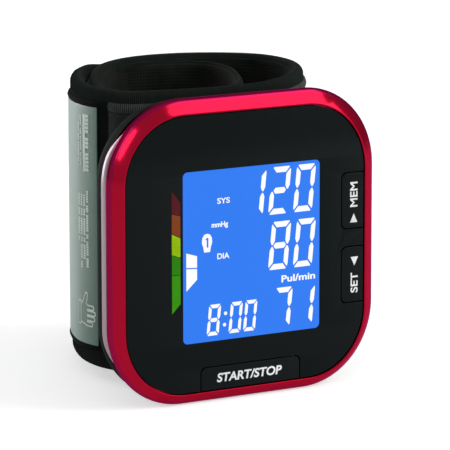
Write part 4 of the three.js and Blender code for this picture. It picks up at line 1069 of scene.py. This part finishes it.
class Plan:
    """A strap's line seen from above, measured along its length; its layers lie to one side of it."""

    spare = 4.0
    glance = 0.4

    def __init__(self, corners, side, rise):
        line = smooth_line(corners)
        steps = np.linalg.norm(np.diff(line, axis=0), axis=1)
        self.length = float(steps.sum())
        first = line[0] - (line[1] - line[0]) / steps[0] * self.spare
        last = line[-1] + (line[-1] - line[-2]) / steps[-1] * self.spare
        self.line = np.vstack((first, line, last))
        self.marks = np.concatenate(([-self.spare], [0], np.cumsum(steps), [self.length + self.spare]))
        self.side = side
        self.rise = rise

    def spots(self, lengths):
        return np.column_stack([np.interp(lengths, self.marks, self.line[:, axis]) for axis in (0, 1)])

    def layer(self, lengths, inwards, heights):
        """Points (x, depth, z) at lengths along, distances in from the outer face and heights."""
        lengths, inwards, heights = np.broadcast_arrays(lengths, inwards, heights)
        flat = lengths.ravel()
        here = self.spots(flat)
        ahead = self.spots(flat + self.glance) - self.spots(flat - self.glance)
        ahead /= np.linalg.norm(ahead, axis=1)[:, None]
        shift = self.side * inwards.ravel()
        x = here[:, 0] - ahead[:, 1] * shift
        depth = here[:, 1] + ahead[:, 0] * shift
        z = heights.ravel() + self.rise * (depth - WINDING[0][1])
        return np.column_stack((x, depth, z))


BAND = Plan(WINDING, 1, CUFF_RISE)
FLAP = Plan(TAIL, -1, TAIL_RISE)
TALL = Plan(TAIL, -1, TALL_RISE)
BAND_STOP = BAND_SHARE * BAND.length
CURL_START = CURL_SHARE * BAND.length


def eased(share):
    share = np.clip(share, 0, 1)
    return share * share * (3 - 2 * share)


def band_dip(lengths):
    """How far the band's upper edge sinks towards its end, behind the front wall."""
    return BAND_DIP * eased((lengths - BAND_STOP + BAND_DIP_RUN) / BAND_DIP_RUN)


def tail_dip(lengths):
    """How far the tail's upper edge sinks towards its free end, behind the band."""
    return TAIL_DIP * eased((lengths - TALL.length + TAIL_DIP_RUN) / TAIL_DIP_RUN)


def curl_dip(lengths):
    """How far the curl's upper edge sinks at its root, behind the front wall."""
    return CURL_DIP * eased((CURL_START + CURL_DIP_END - lengths) / CURL_DIP_RUN)


def strap_section(outer, inner, low, high, crown, hem, hem_rise=1.25, hem_width=0.8, edge=0.5):
    """Closed outline (in, z) across a sewn strap: crowned faces between rolled hems and round edges."""
    steps = 40
    middle, half = (low + high) / 2, (high - low) / 2
    heights = middle - (half - edge) * np.cos(np.linspace(0, math.pi, steps))
    swell = 1 - np.abs((heights - middle) / half) ** 6
    roll = sum(np.exp(-((heights - spot) / hem_width) ** 2) for spot in (low + hem_rise, high - hem_rise))
    outside = outer - crown[0] * swell - hem[0] * roll
    inside = inner + crown[1] * swell + hem[1] * roll
    turns = np.linspace(0, math.pi, 7)[1:-1]
    centre, reach = (outside[-1] + inside[-1]) / 2, (inside[-1] - outside[-1]) / 2
    near = np.column_stack((outside, heights))
    top = np.column_stack((centre - reach * np.cos(turns), heights[-1] + edge * np.sin(turns)))
    far = np.column_stack((inside, heights))[::-1]
    bottom = np.column_stack((centre + reach * np.cos(turns), heights[0] - edge * np.sin(turns)))
    return np.vstack((near, top, far, bottom))


def tape_section(outer, inner, foot, crest, arch=1.5):
    """Closed outline of a tape folded over an edge, from its foot to its crest, which may be lower."""
    steps = 5
    up = 1 if crest > foot else -1
    sides = np.linspace(foot, crest - up * arch, steps)
    turns = np.linspace(0, math.pi, 13)[1:-1]
    centre, reach = (outer + inner) / 2, (inner - outer) / 2
    over = np.column_stack((centre - reach * np.cos(turns), crest - up * arch + up * arch * np.sin(turns)))
    near = np.column_stack((np.full(steps, outer), sides))
    far = np.column_stack((np.full(steps, inner), sides))[::-1]
    return np.vstack((near, over, far))


def ring_lengths(start, stop, round_start, round_stop):
    """Distances along a strap for its rings, closer together at its round ends."""
    pace = np.array(END_PACE)
    begin = start + pace * round_start if round_start else np.array([start])
    finish = stop - pace[::-1] * round_stop if round_stop else np.array([stop])
    first, last = start + round_start, stop - round_stop
    body = np.linspace(first, last, max(2, int((last - first) / RING_STEP)))
    if not round_start:
        body = body[1:]
    if not round_stop:
        body = body[:-1]
    return np.concatenate((begin, body, finish))


def strap_map(lengths, reach, section):
    """The strap's map in metres for its weave, one point for each corner of its faces."""
    along = np.linalg.norm(np.diff(np.vstack((section, section[:1])), axis=0), axis=1)
    across = np.concatenate(([0], np.cumsum(along)))
    spots = []
    for here, ahead in zip(lengths, lengths[1:]):
        for low, high in zip(across, across[1:]):
            spots += [(here, low), (here, high), (ahead, high), (ahead, low)]
    for length in reach:
        spots += [(length + inward, height) for inward, height in section]
    return np.array(spots) * MM


def strap(name, plan, reach, section, finish, ripple=0.0, seed=0.0, round_ends=(0.0, 0.0), dip=None,
          feather=0.0):
    """A closed strap along the plan, with gentle ripples and round ends.

    Its upper edge may dip, and over the feather's length it thins out to its end."""
    lengths = ring_lengths(*reach, *round_ends)
    middle = (section[:, 0].min() + section[:, 0].max()) / 2
    inwards = np.tile(section[:, 0], (len(lengths), 1))
    heights = np.tile(section[:, 1], (len(lengths), 1))
    if ripple:
        for r, length in enumerate(lengths):
            for i, (inward, height) in enumerate(section):
                face = 0 if inward < middle else FAR_FACE_SEED
                up = height / (RIPPLE_STRETCH * RIPPLE_PATCH)
                spot = Vector((length / RIPPLE_PATCH, up, seed + face))
                inwards[r, i] += ripple * noise.noise(spot)
    for end, radius in zip(reach, round_ends):
        if radius:
            near = np.clip(np.abs(lengths - end) / radius, 0, 1)
            share = np.sqrt(1 - (1 - near) ** 2).clip(THINNEST_END)
            inwards = middle + (inwards - middle) * share[:, None]
    if feather:
        thick = FEATHER_LEAST + (1 - FEATHER_LEAST) * eased((reach[1] - lengths) / feather)
        face = section[:, 0].min()
        inwards = face + (inwards - face) * thick[:, None] - FEATHER_SINK * (1 - thick[:, None])
    if dip:
        foot, crest = section[:, 1].min(), section[:, 1].max()
        heights = heights - dip(lengths)[:, None] * (heights - foot) / (crest - foot)
    points = plan.layer(lengths[:, None], inwards, heights)
    faces = loft_faces(len(lengths), len(section))
    return make_piece(name, points, faces, finish, STRAP_SHARP, strap_map(lengths, reach, section))


def rib_shape(section, foot_points, width=0.32, height=0.14):
    """One rib of a tape: a low three-sided ridge over the tape's outline, along local Y and Z."""
    arch = section[foot_points:len(section) - foot_points]
    arch = arch[np.linspace(0, len(arch) - 1, RIB_POINTS).round().astype(int)]
    ahead = np.gradient(arch, axis=0)
    ahead /= np.linalg.norm(ahead, axis=1)[:, None]
    out = np.column_stack((-ahead[:, 1], ahead[:, 0]))
    middle = section.mean(axis=0)
    out *= np.sign(((arch - middle) * out).sum(axis=1))[:, None]
    points = []
    for spot, normal in zip(arch, out):
        base = spot - normal * RIB_ROOT
        crest = spot + normal * height
        points += [(-width / 2, *base), (0, *crest), (width / 2, *base)]
    return new_mesh("tape_rib", np.array(points) * MM, loft_faces(len(arch), 3))


def stitch_shape(length=1.5, radius=0.17):
    sides = 5
    stations = [(-0.5, 0.25), (-0.35, 0.9), (0, 1), (0.35, 0.9), (0.5, 0.25)]
    points = []
    for x, share in stations:
        points += [(x * length, y, z) for y, z in disc(0, 0, share * radius, sides)]
    return new_mesh("stitch", np.array(points) * MM, loft_faces(len(stations), sides))


def hook_shape():
    """One hook of the tape, bent over at its tip, in rings (out, up, share of its radius)."""
    sides = 3
    stations = [(0, 0, 1), (0.25, 0.02, 0.8), (0.38, 0.12, 0.7), (0.33, 0.26, 0.4)]
    points = []
    for out, up, share in stations:
        points += [(x, out, z) for x, z in disc(0, up, HOOK_RADIUS * share, sides)]
    return new_mesh("hook", np.array(points) * MM, loft_faces(len(stations), sides))


def sided(mesh, side):
    """Turns a repeat's shape to face the side on which the plan's layers lie."""
    if side < 0:
        mesh.transform(Matrix.Diagonal((1, -1, 1, 1)))
    return mesh


def line_on(plan, start, stop, inward, height, step=0.5):
    lengths = np.linspace(start, stop, max(2, int((stop - start) / step)))
    return [tuple(p) for p in plan.layer(lengths, inward, height)]


def settle(piece, nodes=(), tail=False):
    """Hides the CAD nodes that a cuff piece stands for and attaches it to the head; the tail's pieces are not
    attached, their place baked into their points.
    """
    if nodes:
        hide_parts(*nodes)
    if tail:
        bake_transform(piece)
    else:
        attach(piece, "head")


def make_tapes(name, plan, reach, outer, inner, nodes, ribs_stop, bottom=CUFF_BOTTOM, upper_dip=None,
               tail=False):
    """Upper and lower ribbed tapes of one strap, with the ribs on the outer side."""
    for label, foot, crest, node in (("upper", COVER_HIGH - TAPE_LAP, CUFF_TOP, nodes[0]),
                                     ("lower", COVER_LOW + TAPE_LAP, bottom, nodes[1])):
        section = tape_section(outer, inner, foot, crest)
        dip = upper_dip if crest > foot else None
        seed = 3.0 + len(label)
        tape = strap(f"{name}_{label}_tape", plan, reach, section, TAPE_CLOTH, ripple=0.12, seed=seed,
                     dip=dip)
        settle(tape, [node], tail)
        outer_half = section[:len(section) // 2 + 2]
        line = line_on(plan, reach[0] + RIB_MARGIN, ribs_stop - RIB_MARGIN, 0, 0)
        rib = sided(rib_shape(outer_half, 1), plan.side)
        ribs = repeat(f"{name}_{label}_ribs", [line], rib, RIB_CLOTH, RIB_PITCH)
        settle(ribs, tail=tail)


def make_stitches(name, plan, stop, inward, inset, tail=False):
    """A row of stitches along each edge of a cover, an inset from it."""
    heights = (COVER_LOW + inset, COVER_HIGH - inset)
    lines = [line_on(plan, STITCH_MARGIN, stop - STITCH_MARGIN, inward, height) for height in heights]
    stitches = repeat(name, lines, stitch_shape(), THREAD, STITCH_PITCH)
    settle(stitches, tail=tail)


def make_band():
    """The wound band: cover, lining, tapes, the ribs of its upper hem and its stitches."""
    stop = BAND_STOP
    reach = (0, stop + BAND_CLOSING)
    ends = (0, 1.2)
    outside = strap_section(0.0, 0.75, COVER_LOW, COVER_HIGH, crown=(0.2, 0), hem=(0.4, 0), hem_rise=1.0)
    cover = strap("band_cover", BAND, reach, outside, COVER_CLOTH, ripple=0.16, seed=1.0, round_ends=ends)
    settle(cover, ["cuff_cover"])
    inside = strap_section(0.65, 3.75, LINING_LOW, LINING_HIGH, crown=(0, 0.45), hem=(0, -0.1))
    lining = strap("band_lining", BAND, reach, inside, LINING_CLOTH, ripple=0.3, seed=2.0, round_ends=ends,
                   dip=band_dip)
    settle(lining, ["cuff_lining", "air_bladder"])
    make_tapes("band", BAND, reach, 0.35, 3.45, ("upper_binding", "lower_binding"), stop - BAND_RIBS_SHORT,
               upper_dip=band_dip)
    hem = outside[(outside[:, 0] < HEM_DEEP) & (outside[:, 1] > COVER_HIGH - HEM_TALL)]
    hem_line = line_on(BAND, RIB_MARGIN, stop - HEM_RIBS_SHORT, 0, 0)
    # The hem ribs wear the lighter cloth, a painted highlight.
    hems = repeat("band_hem_ribs", [hem_line], rib_shape(hem, 0), HEM_CLOTH_PAINTED_HIGHLIGHT, RIB_PITCH)
    settle(hems)
    make_stitches("band_stitches", BAND, stop, inward=-0.16, inset=2.9)


def make_curl():
    """The band's inner end: a soft pad with a thin tape along its upper edge."""
    reach = (CURL_START, BAND.length)
    ends = (1.2, 0.6)
    padding = strap_section(0.2, 2.4, CUFF_BOTTOM + 1, CUFF_TOP - 1.4, crown=(0.3, 0.3), hem=(0.1, 0.1),
                            hem_rise=1.5, hem_width=1.1, edge=1.0)
    pad = strap("curl_pad", BAND, reach, padding, LINING_CLOTH, ripple=0.3, seed=5.0, round_ends=ends,
                dip=curl_dip, feather=FEATHER)
    settle(pad, ["inner_curl"])
    fold = tape_section(0.6, 1.8, CUFF_TOP - 2.6, CUFF_TOP - 1, arch=0.6)
    edge = strap("curl_edge", BAND, reach, fold, TAPE_CLOTH, ripple=0.05, seed=6.0, round_ends=ends,
                 dip=curl_dip, feather=FEATHER)
    settle(edge)


def make_tail():
    """The tail that peels open: flap, pad, tapes and stitches."""
    stop = FLAP.length
    reach = (TAIL_LEAD, stop)
    ends = (0, 1.2)
    outside = strap_section(0.0, 1.1, COVER_LOW, COVER_HIGH, crown=(0.05, 0), hem=(0.55, 0), hem_rise=0.85)
    # The flap wears the darker copy of the cover cloth, a painted shade.
    flap = strap("tail_flap", FLAP, reach, outside, FLAP_CLOTH_PAINTED_SHADE, ripple=0.14, seed=7.0, round_ends=ends)
    settle(flap, ["tail_cover"], tail=True)
    inside = strap_section(1.2, 3.7, LINING_LOW, LINING_HIGH, crown=(0, 0.25), hem=(0, -0.1))
    pad = strap("tail_pad", TALL, reach, inside, LINING_CLOTH, ripple=0.2, seed=8.0, round_ends=ends,
                dip=tail_dip)
    settle(pad, ["tail_lining"], tail=True)
    make_tapes("tail", TALL, reach, 0.25, 3.4, ("tail_upper_binding", "tail_lower_binding"),
               stop - TAIL_RIBS_SHORT, TAIL_BOTTOM, tail_dip, tail=True)
    make_stitches("tail_stitches", FLAP, stop, inward=-0.1, inset=0.6, tail=True)


def make_label():
    start, stop = (share * FLAP.length for share in LABEL_SHARES)
    section = strap_section(LABEL_FACE, -0.1, LABEL_LOW, LABEL_HIGH, crown=(0.05, 0), hem=(0.03, 0),
                            hem_rise=0.6, hem_width=0.3, edge=0.12)
    label = strap("satin_label", FLAP, (start, stop), section, SATIN, ripple=0.05, seed=9.0,
                  round_ends=(0.2, 0.2))
    settle(label, nodes=["cuff_label"], tail=True)
    make_label_print(start)


def on_label(strokes):
    """Flat raised strokes on the label, each four corners (along, z) in millimetres."""
    points, faces = [], []
    for corners in strokes:
        base = len(points)
        along, heights = np.array(corners).T
        for inward in (LABEL_FACE - LABEL_INK_RISE, LABEL_FACE + LABEL_INK_SINK):
            points += [tuple(p) for p in FLAP.layer(along, inward, heights)]
        faces += [tuple(base + i for i in face) for face in loft_faces(2, 4)]
    return points, faces


def pen_stroke(start, stop, width=0.34):
    """Corners of a straight stroke between two points."""
    first, last = np.array(start, float), np.array(stop, float)
    ahead = (last - first) / np.linalg.norm(last - first)
    aside = np.array((-ahead[1], ahead[0])) * width / 2
    reach = ahead * width / 3
    return [tuple(first - reach - aside), tuple(last + reach - aside), tuple(last + reach + aside),
            tuple(first - reach + aside)]


def dash_row(along, low, high, wide):
    """Short dashes down from the top of a row, with a gap after each word's count of them."""
    letter = DASH_STEP * wide
    spot = high
    word, left = 0, DASHES_IN_WORDS[0]
    while spot - letter > low:
        foot = spot - DASH_SHARE * letter
        yield [(along, foot), (along + wide, foot), (along + wide, spot), (along, spot)]
        spot -= letter
        left -= 1
        if left == 0:
            word = (word + 1) % len(DASHES_IN_WORDS)
            left = DASHES_IN_WORDS[word]
            spot -= letter


def hand_outline():
    """A plain hand seen from above: four round fingers and a thumb."""
    hand = [HAND_START]
    for finger, tip in enumerate(FINGER_TIPS):
        middle = FINGER_LOW + FINGER_STEP * finger
        hand.append((KNUCKLE_LINE, middle - FINGER_HALF))
        for turn in np.linspace(-math.pi / 2, math.pi / 2, 7):
            reach = tip + FINGER_HALF - FINGER_HALF * math.cos(turn)
            hand.append((reach, middle + FINGER_HALF * math.sin(turn)))
        hand.append((KNUCKLE_LINE, middle + FINGER_HALF))
    return hand + THUMB


def make_label_print(start):
    """Plain marks in place of the label's words: a bar, rows of short dashes and a hand in a cuff."""
    strokes = [[(start + along, z) for along, z in LABEL_BAR]]
    for along, low, high, wide in LABEL_ROWS:
        strokes += dash_row(start + along, low, high, wide)
    for line in (hand_outline(), HAND_CUFF):
        for first, last in zip(line, line[1:]):
            strokes.append(pen_stroke((start + first[0], first[1]), (start + last[0], last[1])))
    points, faces = on_label(strokes)
    marks = make_piece("label_marks", points, faces, LABEL_INK)
    settle(marks, tail=True)


def make_hooks():
    start, stop = (share * FLAP.length for share in HOOK_SHARES)
    section = strap_section(3.75, 4.0, HOOK_LOW, HOOK_HIGH, crown=(0, 0.05), hem=(0, 0.02), hem_rise=0.6,
                            hem_width=0.3, edge=0.1)
    tape = strap("hook_tape_cloth", FLAP, (start, stop), section, LINING_CLOTH, ripple=0.04, seed=12.0,
                 round_ends=(0.2, 0.2))
    settle(tape, nodes=["hook_tape"], tail=True)
    first, last = start + HOOK_END_MARGIN, stop - HOOK_END_MARGIN
    heights = np.arange(HOOK_LOW + HOOK_SIDE_MARGIN, HOOK_HIGH - HOOK_SIDE_MARGIN, HOOK_ROW_GAP)
    rows = [line_on(FLAP, first, last, HOOK_ROOT, height) for height in heights]
    hooks = repeat("hook_rows", rows, sided(hook_shape(), FLAP.side), HOOK_NYLON, HOOK_PITCH)
    settle(hooks, tail=True)


# Stage

def softbox(name, direction, distance, width, height, radiance, turn):
    lamp = bpy.data.lights.new(name, "AREA")
    lamp.shape = "RECTANGLE"
    lamp.size = width
    lamp.size_y = height
    lamp.energy = radiance * math.pi * width * height
    holder = hold(name, lamp)
    way = Vector(direction).normalized()
    holder.location = Vector(LAMP_AIM) + way * distance
    holder.rotation_euler = (way.to_track_quat("Z", "Y") @ Quaternion((0, 0, 1), turn)).to_euler()


def make_floor():
    """White paper that glows for the camera, and less in mirrors, and keeps the shadow."""
    reach, level = FLOOR_REACH, -FLOOR_DROP
    corners = [(-reach, -reach, level), (reach, -reach, level), (reach, reach, level), (-reach, reach, level)]
    mesh = new_mesh("floor", corners, [(0, 1, 2, 3)])
    paper = plain_finish("white_paper", (0.88, 0.88, 0.88), 0.9, specular=0.0, glow=(1, 1, 1, 1))
    path = add_node(paper, "ShaderNodeLightPath")
    seen = add_node(paper, "ShaderNodeMath", operation="MAXIMUM")
    direct = add_node(paper, "ShaderNodeMath", {1: FLOOR_GLOW}, operation="MULTIPLY")
    mirrored = add_node(paper, "ShaderNodeMath", {1: MIRRORED_GLOW}, operation="MULTIPLY_ADD")
    wire(paper, path.outputs["Is Camera Ray"], seen.inputs[0])
    wire(paper, path.outputs["Is Transmission Ray"], seen.inputs[1])
    wire(paper, seen.outputs[0], direct.inputs[0])
    wire(paper, path.outputs["Is Glossy Ray"], mirrored.inputs[0])
    wire(paper, direct.outputs[0], mirrored.inputs[2])
    wire(paper, mirrored.outputs[0], shader_of(paper).inputs["Emission Strength"])
    mesh.materials.append(paper)
    hold("floor", mesh)


def make_world():
    """White light from all round, stronger from the front than from the back."""
    world = bpy.data.worlds.new("studio")
    world.use_nodes = True
    bpy.context.scene.world = world
    sky = world.node_tree.nodes["Background"]
    where = add_node(world, "ShaderNodeTexCoord")
    axes = add_node(world, "ShaderNodeSeparateXYZ")
    ramp = add_node(world, "ShaderNodeMapRange", WORLD_RAMP)
    wire(world, where.outputs["Generated"], axes.inputs["Vector"])
    wire(world, axes.outputs["Y"], ramp.inputs["Value"])
    sky.inputs["Color"].default_value = (1, 1, 1, 1)
    wire(world, ramp.outputs["Result"], sky.inputs["Strength"])


def make_stage():
    make_floor()
    make_world()
    for name, lamp in LAMPS.items():
        softbox(name, *lamp)


def make_camera():
    azimuth, elevation = math.radians(CAMERA_AZIMUTH), math.radians(CAMERA_ELEVATION)
    aim = Vector((0, FACE, CAMERA_HEIGHT))
    back = Vector((math.sin(azimuth) * math.cos(elevation), -math.cos(azimuth) * math.cos(elevation),
                   math.sin(elevation)))
    lens = bpy.data.cameras.new("camera")
    lens.lens = CAMERA_LENS
    lens.sensor_width = CAMERA_SENSOR
    lens.shift_x, lens.shift_y = CAMERA_SHIFT
    camera = hold("camera", lens)
    camera.location = aim + back * CAMERA_DISTANCE
    camera.rotation_euler = back.to_track_quat("Z", "Y").to_euler()
    bpy.context.scene.camera = camera


make_camera()
make_stage()
bpy.context.scene.view_settings.view_transform = "Standard"
make_bezel()
make_trim()
make_panel()
make_buttons()
make_display_marks()
make_pressure_scale()
make_button_words()
make_rear_case()
make_screws()
make_band()
make_curl()
make_tail()
make_label()
make_hooks()
